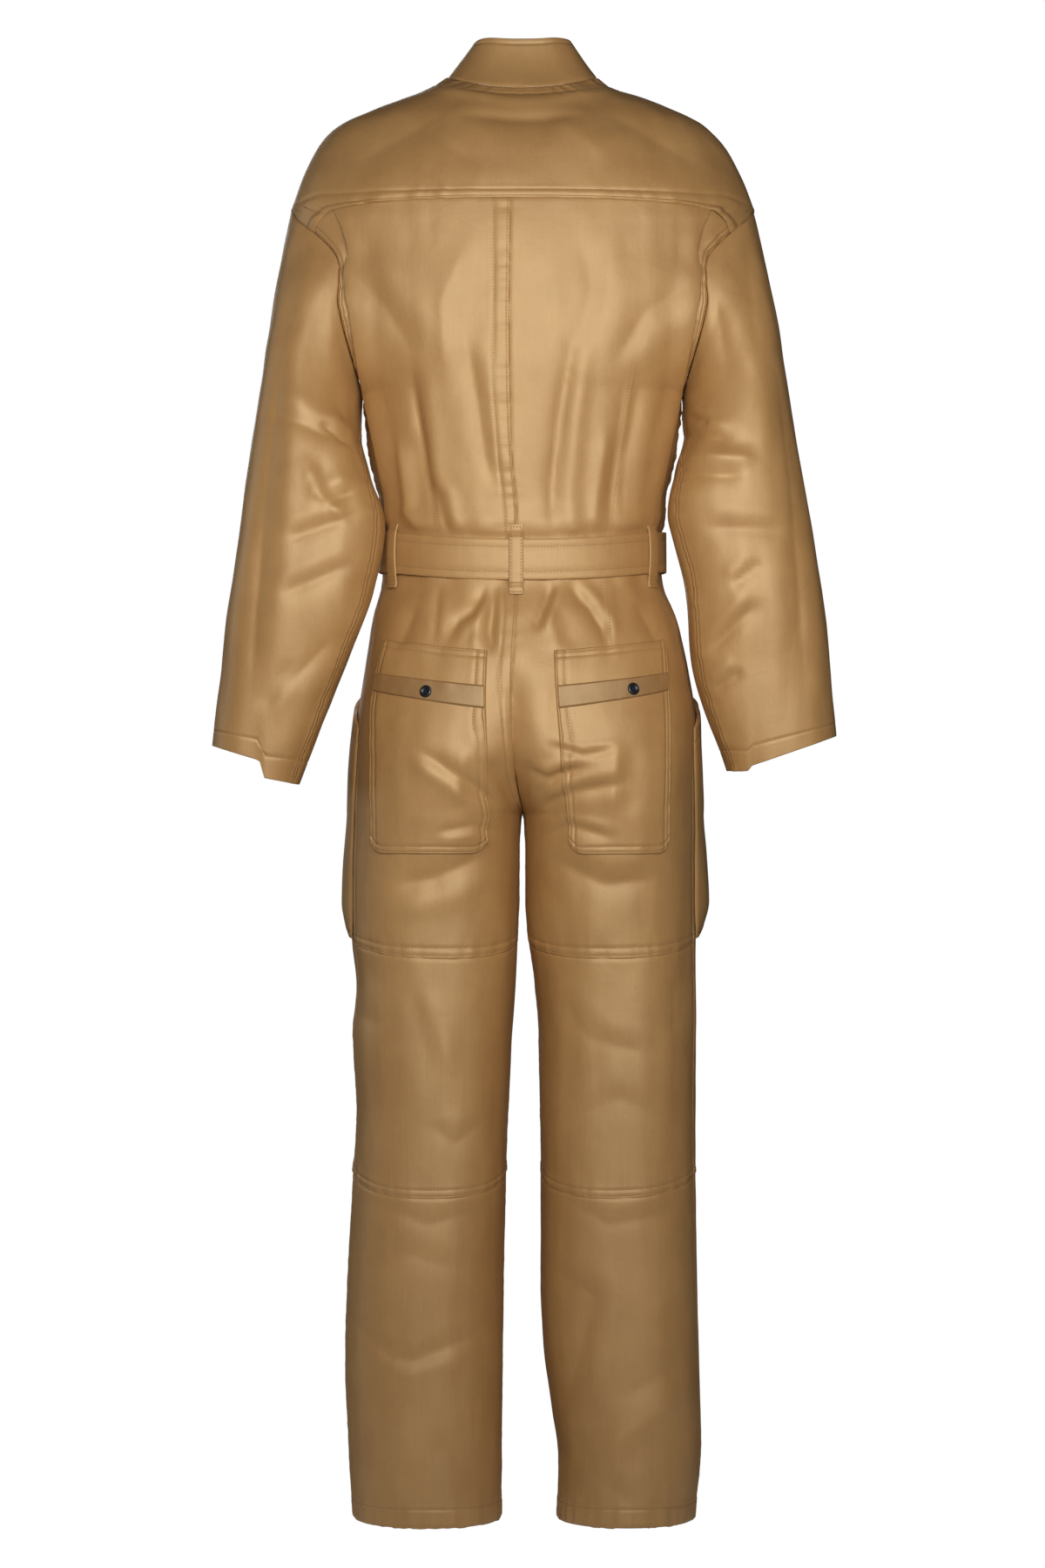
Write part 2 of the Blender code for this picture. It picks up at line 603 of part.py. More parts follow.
SLEEVE_ALONG = (0.0, 0.085, 0.17, 0.25, 0.33, 0.415, 0.50, 0.57, 0.64, 0.72, 0.80, 0.90, 1.0)


def add_sleeve(name, side):
    steps = 2 * ARMHOLE_STEPS
    rows = [[sleeve(side, 360 / steps * k, along) for k in range(steps)] for along in SLEEVE_ALONG]
    skin(name, rows, ring=True)


# ---------------------------------------------------------------- trousers
UPPER_LEVELS = (-0.492, -0.520, -0.556, -0.588, -0.615, -0.655, -0.690, -0.728, -0.765, -0.805, -0.850, -0.900)
KNEE_LEVELS = (-0.900, -0.950, -1.000, -1.050, -1.098, -1.146)
LOWER_LEVELS = (-1.146, -1.200, -1.260, -1.320, -1.385, -1.450, HEM_Z)
FRONT_COLUMNS = 8
WELT_TOP, POCKET_BOTTOM = 4, 9      # rows of the upper back
POCKET_IN, POCKET_OUT = 2, 6                                        # its columns
POCKET_IN_X = {
    1: smooth((-0.588, 0.028), (-0.690, 0.028), (-0.765, 0.036), (-0.805, 0.040)),
    -1: smooth((-0.588, 0.040), (-0.690, 0.046), (-0.765, 0.048), (-0.805, 0.051)),
}
POCKET_OUT_X = {
    1: smooth((-0.492, 0.138), (-0.588, 0.146), (-0.620, 0.154), (-0.660, 0.158)),
    -1: smooth((-0.492, 0.138), (-0.588, 0.150), (-0.660, 0.153)),
}


def leg_columns(side, z):
    """The u of the nine columns of the back of a leg, two of which are the pocket's edges."""
    a, b = leg_u(side, POCKET_IN_X[side](z), z), leg_u(side, POCKET_OUT_X[side](z), z)
    return (0.0, a / 2, a, a + (b - a) / 4, (a + b) / 2, b - (b - a) / 4, b, (1 + b) / 2, 1.0)


def add_leg_back(name, side, levels, drop_at_top, drop_at_bottom, fades):
    """A piece of a leg's back. The drops are its seams' dip in the middle, and fades is how it dies away."""
    rows = []
    for k, level in enumerate(levels):
        t = (levels[0] - level) / (levels[0] - levels[-1])
        drop = drop_at_top * (1 - t) ** fades + drop_at_bottom * t**fades
        row = []
        for u in leg_columns(side, level):
            row.append(leg(side, 1, u, level + drop * (1 - (2 * u - 1) ** 2)))
        rows.append(row)
    skin(name, rows, inside=(side * 0.06, 0.0))


def add_leg_front(name, side):
    levels = UPPER_LEVELS + KNEE_LEVELS[1:] + LOWER_LEVELS[1:]
    rows = [[leg(side, -1, j / FRONT_COLUMNS, z) for j in range(FRONT_COLUMNS + 1)] for z in levels]
    skin(name, rows, inside=(side * 0.06, 0.0))


def on_skin(name, ways, i, j):
    """A point of a skin and its outward direction, at a place between its rows and columns."""
    grid = SKINS[name][0]
    a, b = min(int(i), grid.shape[0] - 2), min(int(j), grid.shape[1] - 2)
    s, t = i - a, j - b

    falling = falls(grid[a, b], grid[a + 1, b], grid[a + 1, b + 1], grid[a, b + 1])

    def mix(values):
        p, q, r, o = values[a, b], values[a + 1, b], values[a + 1, b + 1], values[a, b + 1]
        if falling and s >= t:
            return p * (1 - s) + q * (s - t) + r * t
        if falling:
            return p * (1 - t) + o * (t - s) + r * s
        if s + t <= 1:
            return p * (1 - s - t) + q * s + o * t
        return r * (s + t - 1) + q * (1 - t) + o * (1 - s)

    way = mix(ways[name])
    return mix(grid), way / np.linalg.norm(way)


def laid_on(name, ways, places, lift, thickness=WALL):
    """The two faces of a piece that lies on a skin: places is a grid of (row, column) and lift its gap there."""
    inner, outer = [], []
    for i, row in enumerate(places):
        inner.append([])
        outer.append([])
        for j, place in enumerate(row):
            p, way = on_skin(name, ways, *place)
            gap = lift[i][j] if isinstance(lift, list) else lift
            inner[-1].append(p + way * gap)
            outer[-1].append(p + way * (gap + thickness))
    return np.array(outer), np.array(inner)


def add_pocket(side_name, side, ways):
    """A back patch pocket with a rounded foot, its welt and its snap. Its top and welt slope down to the centre."""
    panel = f"back_upper_{side_name}"
    columns = range(POCKET_IN, POCKET_OUT + 1)
    top = dict(zip(columns, (3.20, 3.12, 3.06, 3.02, 3.00)))
    foot = {POCKET_IN: 8.62, POCKET_IN + 1: 8.96, POCKET_OUT - 1: 8.92, POCKET_OUT: 8.72}
    places = [[(top[j], j) for j in columns]]
    places += [[(i, j) for j in columns] for i in range(WELT_TOP, POCKET_BOTTOM)]
    places.append([(foot.get(j, 9.0), j) for j in columns])
    gap = LAID + 0.0003
    shell(f"pocket_{side_name}", *laid_on(panel, ways, places, gap))

    on_pocket = gap + WALL + LAID + 0.0004
    columns = [POCKET_IN + 0.05, POCKET_IN + 1, POCKET_IN + 2, POCKET_IN + 3, POCKET_OUT - 0.02]
    welt_top = (4.38, 4.28, 4.19, 4.10, 4.02)
    welt_height = 0.60
    places = [[(i + down * welt_height, j) for i, j in zip(welt_top, columns)] for down in (0.0, 0.5, 1.0)]
    shell(f"pocket_welt_{side_name}", *laid_on(panel, ways, places, on_pocket))

    across = 1.92 if side > 0 else 2.10
    at = 4.38 - 0.09 * across + welt_height / 2
    p, way = on_skin(panel, ways, at, POCKET_IN + across)
    add_snap(f"snap_{side_name}", p + way * (on_pocket + WALL + LAID), way)


def add_snap(name, base, way):
    """A press stud's cap, turned about the direction it faces."""
    across = np.cross((0.0, 0.0, 1.0), way)
    across = across / np.linalg.norm(across)
    up = np.cross(way, across)
    bm = bmesh.new()
    rings = []
    for part_of_radius, height in SNAP_PROFILE:
        centre, radius = base + way * height, SNAP_RADIUS * part_of_radius
        turns = [2 * math.pi * k / SNAP_SIDES for k in range(SNAP_SIDES if radius else 1)]
        rings.append([bm.verts.new(centre + radius * (across * math.cos(a) + up * math.sin(a))) for a in turns])
    for low, high in zip(rings, rings[1:]):
        for k in range(SNAP_SIDES):
            m = (k + 1) % SNAP_SIDES
            if len(low) == 1:
                bm.faces.new((low[0], high[m], high[k]))
            elif len(high) == 1:
                bm.faces.new((low[k], low[m], high[0]))
            else:
                bm.faces.new((low[k], low[m], high[m], high[k]))
    link(name, bm, METAL_FINISH)


SIDE_POCKET_BULGE = {1: 0.0150, -1: 0.0195}
SIDE_POCKET_FULLNESS = smooth((1.0, 0.0), (0.94, 0.62), (0.82, 1.0), (0.45, 0.72), (0.0, 0.45))    # by depth


def add_side_pocket(side_name, side, ways):
    """A patch pocket on the thigh, caught in the side seam, that stands away from the leg and gapes at its mouth."""
    panel = f"trouser_front_{side_name}"
    columns = (4.0, 5.0, 6.0, 7.0, FRONT_COLUMNS - 0.04)
    mouth = (4.35, 4.5, 4.7, 5.0, 5.45)
    foot = 10.95
    steps = 7
    places, lifts = [], []
    for k in range(steps + 1):
        row, lift = [], []
        for n, (column, top) in enumerate(zip(columns, mouth)):
            at = foot if k == steps else top if k == 0 else min(max(4.0 + k, top + 0.3 * k), foot)
            row.append((at, column))
            middle = 0 < n < len(columns) - 1
            swell = math.sin(math.pi * n / (len(columns) - 1)) ** 0.8 if middle else 0.0
            fullness = SIDE_POCKET_FULLNESS((at - top) / (foot - top))
            lift.append(LAID + 0.0006 + SIDE_POCKET_BULGE[side] * swell * fullness)
        places.append(row)
        lifts.append(lift)
    shell(f"side_pocket_{side_name}", *laid_on(panel, ways, places, lifts))


# ---------------------------------------------------------------- placket, belt, loops and buckle
PLACKET_HALF_WIDTH = 0.016
PLACKET_GAP = 0.0013                # between it and the front panels
PLACKET_FOOT = 6                    # the trouser row it ends at


def front_y(x, z):
    """y of the front of the body at a small distance from its centre line."""
    if z >= WAIST_Z:
        half_width, depth, squareness, _ = torso_section(-1, z)
        return -depth * (1 - (abs(x) / half_width) ** squareness) ** (1 / squareness)
    middle, half_width, squareness, _, _ = leg_section(1, -1, z)
    out = abs(abs(x) - middle) / half_width
    return -LEG_FRONT(z) * (1 - out**squareness) ** (1 / squareness)


def add_placket():
    """The front's topstitched fly strip, from the neck to the foot of the fly."""
    heights = [bodice_z(k, NECK_FRONT_Z) for k in range(len(BODICE_LEVELS))]
    heights += UPPER_LEVELS[1:PLACKET_FOOT + 1]
    heights[0] -= 0.002
    inner, outer = [], []
    for z in heights:
        slope = (front_y(0.0, z - 0.002) - front_y(0.0, z + 0.002)) / 0.004
        way = np.array((0.0, -1.0, -slope)) / math.hypot(1.0, slope)
        row = [np.array((x, front_y(x, z), z)) for x in PLACKET_HALF_WIDTH * np.linspace(-1, 1, 5)]
        inner.append([p + way * PLACKET_GAP for p in row])
        outer.append([p + way * (PLACKET_GAP + WALL) for p in row])
    shell("front_placket", np.array(outer), np.array(inner))


def waist_point(angle, z, off):
    """A point beside the waist: angle 90 is the centre back, -90 the centre front, 0 the left side."""
    if z >= WAIST_Z:
        half_width, squareness = TORSO_SIDE(z), TORSO_SQUARENESS(z)
        back, front = TORSO_BACK(z), TORSO_FRONT(z)
    else:
        half_width = LEG_OUTER[1 if math.cos(math.radians(angle)) >= 0 else -1](z)
        squareness, back, front = LEG_SQUARENESS(z), LEG_BACK(z), LEG_FRONT(z)
    p = np.array(section(angle, half_width, back, front, squareness))
    before = np.array(section(angle - 0.5, half_width, back, front, squareness))
    after = np.array(section(angle + 0.5, half_width, back, front, squareness))
    way = after - before
    normal = np.array((way[1], -way[0])) / np.linalg.norm(way)
    p = p + normal * off
    return np.array((p[0], p[1], z))


def belt_middle(angle):
    """Height of the belt's middle: it dips at the centre back and a little at the centre front."""
    s = math.sin(math.radians(angle))
    return -0.4865 - (0.0115 if s > 0 else 0.0085) * s * s


BUCKLE_HALF_WIDTH, BUCKLE_HALF_HEIGHT, BUCKLE_THICK = 0.027, 0.0285, 0.0025
BUCKLE_BAR, BUCKLE_MIDDLE_BAR = 0.0040, 0.0044
BUCKLE_BOW = 0.0015                 # how far its middle stands out of its ends
BUCKLE_OFF = 0.0090                 # from the cloth at the waist to the buckle's inner face
TIP_ANGLE = -62.0                   # where the free end of the belt stops, on the wearer's left
FRONT_ANGLE = -90.0


def angle_at(x):
    """The angle on the front at which the belt is this far to the wearer's left."""
    return FRONT_ANGLE + math.degrees(math.asin(x / (TORSO_SIDE(WAIST_Z) + BELT_STAND_OFF)))


def add_belt():
    """One strap. From the buckle's middle bar it goes round the body and back over the bar to its free end."""
    # Its stations: angle round the waist, and how far the strap's inner face is from the cloth.
    stations = [(angle_at(0.004), 0.0092), (angle_at(0.010), 0.0064), (angle_at(0.018), 0.0046)]
    stations += [(a, BELT_STAND_OFF) for a in np.linspace(angle_at(0.030), 246.0, 50)]
    over = BELT_STAND_OFF + BELT_THICK + BELT_LAP_GAP
    stations += [(angle_at(-0.034) + 360, 0.0046), (angle_at(-0.0255) + 360, over - 0.0003)]
    stations += [(angle_at(-0.0190) + 360, 0.0078), (angle_at(-0.0070) + 360, 0.0132)]
    stations += [(angle_at(0.0) + 360, 0.0137), (angle_at(0.0070) + 360, 0.0134)]
    stations += [(angle_at(0.0190) + 360, 0.0078), (angle_at(0.0255) + 360, over)]
    stations += [(a + 360, over) for a in np.linspace(angle_at(0.036), TIP_ANGLE, 3)]
    faces = []
    for extra in (BELT_THICK, 0.0):
        face = []
        for angle, off in stations:
            x, y, _ = waist_point(angle, WAIST_Z, off + extra)
            half = BELT_HEIGHT / 2 * (BELT_TIP_NARROWING if len(face) == len(stations) - 1 else 1.0)
            face.append([(x, y, belt_middle(angle) + e * half) for e in (-1.0, -0.5, 0.5, 1.0)])
        faces.append(np.array(face))
    shell("belt", *faces)


def add_buckle():
    """A flat rectangular slide: a frame with a middle bar."""
    y = -(TORSO_FRONT(WAIST_Z) + BUCKLE_OFF)
    z = belt_middle(FRONT_ANGLE)
    w, h, bar, middle = BUCKLE_HALF_WIDTH, BUCKLE_HALF_HEIGHT, BUCKLE_BAR, BUCKLE_MIDDLE_BAR / 2
    xs = (-w, -w + bar, -middle, middle, w - bar, w)
    zs = (-h, -h + bar, h - bar, h)
    filled = {(i, k) for i in range(5) for k in range(3)} - {(1, 1), (3, 1)}
    bm = bmesh.new()
    verts = {}

    def corner(i, k, layer):
        if (i, k, layer) not in verts:
            bow = BUCKLE_BOW * (1 - (xs[i] / w) ** 2)
            verts[i, k, layer] = bm.verts.new((xs[i], y - bow - layer * BUCKLE_THICK, z + zs[k]))
        return verts[i, k, layer]

    for i, k in sorted(filled):
        for layer in (0, 1):
            bm.faces.new([corner(a, c, layer) for a, c in ((i, k), (i + 1, k), (i + 1, k + 1), (i, k + 1))])
        sides = (((i, k), (i + 1, k), (i, k - 1)), ((i + 1, k), (i + 1, k + 1), (i + 1, k)))
        sides += (((i + 1, k + 1), (i, k + 1), (i, k + 1)), ((i, k + 1), (i, k), (i - 1, k)))
        for p, q, beside in sides:
            if beside not in filled:
                bm.faces.new([corner(*p, 0), corner(*q, 0), corner(*q, 1), corner(*p, 1)])
    link("buckle", bm, METAL_FINISH)


LOOPS = {
    "belt_loop_back": 88.0,
    "belt_loop_back_left": 27.0,
    "belt_loop_back_right": 153.0,
    "belt_loop_front_left": -44.0,
    "belt_loop_front_right": -136.0,
}
LOOP_THICK = 0.0014


def add_loop(name, angle):
    """A strap sewn down above and below the belt, and standing over it."""
    # Its path: height over the belt's middle, and how far out it is, or None where it lies on the cloth.
    middle = belt_middle(angle)
    half = BELT_HEIGHT / 2
    over = BELT_STAND_OFF + BELT_THICK + 0.0009
    path = (
        (half + LOOP_REACH, None), (half + 0.0035, None), (half + 0.0022, over - 0.0012), (half * 0.6, over + 0.0006),
        (0.0, over + 0.0010), (-half * 0.6, over + 0.0006), (-half - 0.0022, over - 0.0006), (-half - 0.0035, None),
        (-half - LOOP_REACH, None),
    )
    inner, outer = [], []
    for rise, off in path:
        z = middle + rise
        here = waist_point(angle, z if off is None else WAIST_Z, 0.0)
        out = waist_point(angle, z if off is None else WAIST_Z, 1.0) - here
        here[2] = z
        along = np.cross(out, (0.0, 0.0, 1.0))
        over_pleat = rise > 0 and 0.3 < abs(math.cos(math.radians(angle))) and angle > 0
        gap = (0.0046 if over_pleat else 0.0015) if off is None else off
        for face, lift in ((inner, gap), (outer, gap + LOOP_THICK)):
            face.append([here + out * lift + along * e * LOOP_WIDTH / 2 for e in (-1.0, 0.0, 1.0)])
    shell(name, np.array(outer), np.array(inner))


# ---------------------------------------------------------------- build
def lay_out_skins():
    """The right sides of the pieces that make up the three forms."""
    add_yoke()
    add_collar()
    for side_name, side in SIDES.items():
        add_back(f"bodice_back_{side_name}", side)
        add_front(f"bodice_front_{side_name}", side)
        add_sleeve(f"sleeve_{side_name}", side)
        add_leg_back(f"back_upper_{side_name}", side, UPPER_LEVELS, 0.0, KNEE_TOP_Z[1], 7)
        add_leg_back(f"back_knee_{side_name}", side, KNEE_LEVELS, KNEE_TOP_Z[1], KNEE_LOW_Z[1], 1)
        add_leg_back(f"back_lower_{side_name}", side, LOWER_LEVELS, KNEE_LOW_Z[1], 0.0, 2)
        add_leg_front(f"trouser_front_{side_name}", side)


def kept_apart(face, grid, side):
    """Keeps a face of a trouser piece on its own side of the centre seam."""
    for row, centre in zip(face[..., 0], grid[:, 0, 0]):
        near = side * (row - centre) < SEAM / 2
        row[near] = centre + side * SEAM / 2


def add_skins(ways):
    """The cloth of those pieces: a wall that goes inwards from each skin."""
    for name, (grid, ring, _) in SKINS.items():
        outer = drawn_in(grid, ring, SEAM)
        at_crotch = name.startswith(("back_upper", "trouser_front"))
        side = SIDES[name.rsplit("_", 1)[1]] if at_crotch else 0
        if at_crotch:
            ways[name][UPPER_LEVELS.index(CROTCH_Z), 0] = (-0.8 * side, 0.0, -0.6)
        inner = outer - WALL * ways[name]
        if at_crotch:
            kept_apart(outer, grid, side)
            kept_apart(inner, grid, side)
        shell(name, outer, inner, ring)


def build():
    for obj in list(bpy.data.objects):
        bpy.data.objects.remove(obj, do_unlink=True)
    lay_out_skins()
    ways = outward()
    add_skins(ways)
    for side_name, side in SIDES.items():
        add_pocket(side_name, side, ways)
        add_side_pocket(side_name, side, ways)
    add_placket()
    add_belt()
    add_buckle()
    for name, angle in LOOPS.items():
        add_loop(name, angle)


build()
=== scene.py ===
"""Looks of the belted jumpsuit: sateen cloth with its folds, puckered seams and stitching, seen from behind.

The cloth follows the same three hollow forms as the CAD solids: torso, legs and sleeves. Every cut piece is
a fine grid on its form, moved in and out by folds, seams and gathers. Metres, +Z up, the front faces -Y.
"""
import math
from functools import partial

import bpy
import numpy as np
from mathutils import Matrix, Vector, noise


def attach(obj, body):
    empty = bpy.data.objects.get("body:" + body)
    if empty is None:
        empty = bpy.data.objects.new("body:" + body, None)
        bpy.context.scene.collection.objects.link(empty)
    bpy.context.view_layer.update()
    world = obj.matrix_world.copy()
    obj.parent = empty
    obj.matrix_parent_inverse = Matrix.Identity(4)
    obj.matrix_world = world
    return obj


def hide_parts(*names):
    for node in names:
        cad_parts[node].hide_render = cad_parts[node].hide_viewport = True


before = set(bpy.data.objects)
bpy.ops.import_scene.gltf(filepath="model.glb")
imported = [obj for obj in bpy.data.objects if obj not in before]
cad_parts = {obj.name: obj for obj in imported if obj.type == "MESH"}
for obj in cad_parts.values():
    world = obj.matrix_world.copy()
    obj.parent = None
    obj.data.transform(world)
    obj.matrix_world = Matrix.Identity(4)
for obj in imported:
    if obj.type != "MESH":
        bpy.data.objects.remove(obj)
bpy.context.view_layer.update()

LEFT, RIGHT = 1, -1
SIDES = {"left": LEFT, "right": RIGHT}
BACK, FRONT = 1, -1

# ---------------------------------------------------------------- sizes shared with the solids
NECK_SIDE_Z, NECK_BACK_Z, NECK_FRONT_Z = 0.020, 0.002, -0.055
YOKE_FRONT_NECK = 0.70
SHOULDER_TIP = (0.2474, -0.123)
UNDERARM = (0.171, -0.320)
ARMHOLE_HALF_DEPTH = 0.083
ARMHOLE_SCOOP = 0.030
SLEEVE_FLATNESS = 0.22
YOKE_TURN = 135.0                   # where the yoke's seams meet the armhole
WAIST_Z, CROTCH_Z, HEM_Z = -0.492, -0.765, -1.514
KNEE_TOP_Z, KNEE_TOP_DROP = -0.900, -0.0165
KNEE_LOW_Z, KNEE_LOW_DROP = -1.146, -0.022
PLEAT_U = 0.69                      # where the yoke's back seam crosses the action pleat
YOKE_SEAM_MIDDLE_Z, YOKE_SEAM_PLEAT_Z = -0.1205, -0.1300
U_WIDTH = 0.22                      # metres of cloth for one u round the back
BELT_HEIGHT, BELT_THICK, BELT_STAND_OFF = 0.043, 0.002, 0.0042
LOOP_WIDTH, LOOP_REACH = 0.015, 0.013
BELT_MIDDLE_Z, BELT_BACK_DIP, BELT_FRONT_DIP = -0.4865, 0.0115, 0.0085
LEG_MIDDLE_X = 0.06                 # the cloth of a leg goes round this line
STEP = 0.0033                       # spacing of the cloth's grid


def smooth(*points):
    """A curve through (position, value) points, from the highest position down, with no overshoot."""
    at = np.array([p[0] for p in points][::-1])
    value = np.array([p[1] for p in points][::-1])
    step = np.diff(value) / np.diff(at)
    slope = np.zeros(len(at))
    slope[0], slope[-1] = step[0], step[-1]
    for i in range(1, len(at) - 1):
        if step[i - 1] * step[i] > 0:
            slope[i] = 2 / (1 / step[i - 1] + 1 / step[i])

    def curve(z):
        z = np.clip(z, at[0], at[-1])
        i = np.minimum(np.searchsorted(at, z, side="right") - 1, len(at) - 2)
        run = at[i + 1] - at[i]
        t = (z - at[i]) / run
        return (
            value[i] * (1 + 2 * t) * (1 - t) ** 2
            + run * slope[i] * t * (1 - t) ** 2
            + value[i + 1] * t * t * (3 - 2 * t)
            - run * slope[i + 1] * t * t * (1 - t)
        )

    return curve


def ease(t):
    """A smooth step: 0 up to t 0 and 1 from t 1."""
    t = np.clip(t, 0.0, 1.0)
    return t * t * (3 - 2 * t)


SHOULDER_POINTS = (
    (0.024, 0.0745), (0.011, 0.0925), (-0.011, 0.150), (-0.030, 0.193),
    (-0.050, 0.214), (-0.085, 0.2335), (-0.123, 0.2474),
)
SHOULDER_LINE = smooth(*SHOULDER_POINTS)
SHOULDER_HEIGHT = smooth(*[(x, z) for z, x in SHOULDER_POINTS[::-1]])
TORSO_SIDE = smooth(
    (-0.320, 0.171), (-0.370, 0.1655), (-0.400, 0.1600), (-0.425, 0.1535), (-0.455, 0.1475), (-0.492, 0.1475)
)
TORSO_DEPTH = {
    BACK: smooth(
        (0.024, 0.050), (0.002, 0.062), (-0.030, 0.084), (-0.070, 0.104), (-0.120, 0.116), (-0.190, 0.121),
        (-0.270, 0.118), (-0.350, 0.109), (-0.430, 0.101), (-0.470, 0.0965), (-0.492, 0.096),
    ),
    FRONT: smooth(
        (0.024, 0.042), (0.0, 0.056), (-0.055, 0.080), (-0.100, 0.096), (-0.170, 0.110), (-0.260, 0.115),
        (-0.350, 0.110), (-0.430, 0.103), (-0.470, 0.0985), (-0.492, 0.098),
    ),
}
TORSO_SQUARENESS = smooth((0.024, 2.0), (-0.060, 2.0), (-0.120, 2.25), (-0.300, 2.4), (-0.492, 2.15))
LEG_OUTER = {
    LEFT: smooth(
        (-0.492, 0.1475), (-0.520, 0.1500), (-0.556, 0.1600), (-0.612, 0.1690), (-0.668, 0.1758),
        (-0.760, 0.1795), (-0.891, 0.1820), (-0.947, 0.1767), (-1.003, 0.1805), (-1.087, 0.1767),
        (-1.150, 0.1800), (-1.337, 0.1895), (-1.430, 0.1870), (-1.514, 0.1805),
    ),
    RIGHT: smooth(
        (-0.492, 0.1475), (-0.520, 0.1510), (-0.556, 0.1640), (-0.612, 0.1770), (-0.668, 0.1850),
        (-0.891, 0.1855), (-1.143, 0.1830), (-1.337, 0.1880), (-1.430, 0.1890), (-1.514, 0.1810),
    ),
}
LEG_INNER = {
    LEFT: smooth(
        (-0.765, 0.0), (-0.800, 0.0035), (-0.863, 0.0040), (-0.947, 0.0065), (-1.003, 0.0110),
        (-1.087, 0.0149), (-1.200, 0.0186), (-1.337, 0.0214), (-1.514, 0.0233),
    ),
    RIGHT: smooth(
        (-0.765, 0.0), (-0.800, 0.0028), (-0.863, 0.0035), (-0.947, 0.0130), (-1.003, 0.0180),
        (-1.100, 0.0185), (-1.250, 0.0195), (-1.337, 0.0232), (-1.393, 0.0298), (-1.450, 0.0380),
        (-1.514, 0.0365),
    ),
}
LEG_BACK = smooth(
    (-0.492, 0.096), (-0.520, 0.099), (-0.560, 0.114), (-0.620, 0.130), (-0.690, 0.134), (-0.765, 0.119),
    (-0.850, 0.104), (-0.950, 0.098), (-1.150, 0.092), (-1.350, 0.090), (-1.514, 0.088),
)
LEG_FRONT = smooth(
    (-0.492, 0.098), (-0.520, 0.099), (-0.620, 0.104), (-0.690, 0.104), (-0.765, 0.101), (-0.850, 0.098),
    (-0.950, 0.094), (-1.150, 0.090), (-1.514, 0.086),
)
LEG_SQUARENESS = smooth((-0.492, 2.15), (-0.650, 2.3), (-0.900, 2.3), (-1.514, 2.2))
PARTING = {
    BACK: smooth((-0.492, 0.0), (-0.580, 0.0), (-0.640, 0.12), (-0.690, 0.38), (-0.730, 0.72), (-0.765, 1.0)),
    FRONT: smooth(
        (-0.492, 0.0), (-0.600, 0.0), (-0.660, 0.08), (-0.710, 0.38), (-0.745, 0.80), (-0.765, 1.0)
    ),
}
SIDE_SEAM_ANGLE = {
    LEFT: smooth((-0.492, 0.0), (-0.600, 14.0), (-0.900, 14.0), (-1.000, 4.0), (-1.514, 0.0)),
    RIGHT: smooth((-0.492, 0.0), (-0.600, 14.0), (-1.514, 12.0)),
}
# Place along the sleeve, then x and z of its inner and outer edge, its middle's y and half its depth.
SLEEVE_RINGS = {
    LEFT: (
        (0.00, *UNDERARM, *SHOULDER_TIP, 0.000, ARMHOLE_HALF_DEPTH),
        (0.17, 0.1712, -0.362, 0.2655, -0.215, 0.012, 0.084),
        (0.33, 0.1620, -0.405, 0.2800, -0.320, 0.036, 0.080),
        (0.50, 0.1455, -0.462, 0.2960, -0.440, 0.058, 0.068),
        (0.64, 0.1570, -0.528, 0.3075, -0.530, 0.060, 0.064),
        (0.80, 0.1890, -0.612, 0.3180, -0.612, 0.052, 0.062),
        (1.00, 0.2350, -0.734, 0.3290, -0.692, 0.042, 0.058),
    ),
    RIGHT: (
        (0.00, *UNDERARM, *SHOULDER_TIP, 0.000, ARMHOLE_HALF_DEPTH),
        (0.17, 0.1712, -0.362, 0.2655, -0.215, 0.012, 0.084),
        (0.33, 0.1620, -0.405, 0.2820, -0.320, 0.036, 0.080),
        (0.50, 0.1530, -0.450, 0.3020, -0.440, 0.056, 0.068),
        (0.64, 0.1720, -0.530, 0.3145, -0.530, 0.058, 0.064),
        (0.80, 0.1800, -0.612, 0.3235, -0.612, 0.050, 0.062),
        (1.00, 0.2170, -0.719, 0.3310, -0.682, 0.042, 0.060),
    ),
}
PLEAT_EDGE = smooth(
    (-0.131, 0.1955), (-0.165, 0.190), (-0.190, 0.186), (-0.229, 0.1815), (-0.313, 0.1655), (-0.371, 0.154),
    (-0.461, 0.139), (-0.492, 0.135),
)
PLEAT_RETURN = smooth((-0.120, 0.022), (-0.492, 0.014))
LEAN = smooth(
    (0.020, 0.0), (-0.100, 0.011), (-0.250, 0.013), (-0.390, 0.010), (-0.455, 0.0055), (-0.530, 0.006),
    (-0.640, 0.011), (-0.720, 0.008), (-0.765, 0.0),
)
LEAN_REACH, LEAN_DEPTH = 0.130, 0.080
SCOOP = smooth(
    (180.0, 0.0), (150.0, 0.15), (135.0, 0.55), (115.0, 1.0), (100.0, 0.75), (85.0, 0.4), (60.0, 0.2),
    (0.0, 0.0),
)
POCKET_IN_X = {
    LEFT: smooth((-0.588, 0.028), (-0.690, 0.028), (-0.765, 0.036), (-0.805, 0.040)),
    RIGHT: smooth((-0.588, 0.040), (-0.690, 0.046), (-0.765, 0.048), (-0.805, 0.051)),
}
POCKET_OUT_X = {
    LEFT: smooth((-0.492, 0.138), (-0.588, 0.146), (-0.620, 0.154), (-0.660, 0.158)),
    RIGHT: smooth((-0.492, 0.138), (-0.588, 0.150), (-0.660, 0.153)),
}


# ---------------------------------------------------------------- the three forms
def lean(points):
    """Points moved sideways with the hang of the back."""
    across = np.maximum(0.0, 1 - (points[..., 0] / LEAN_REACH) ** 2) ** 2
    moved = points.copy()
    moved[..., 0] += LEAN(points[..., 2]) * across * ease(points[..., 1] / LEAN_DEPTH)
    return moved


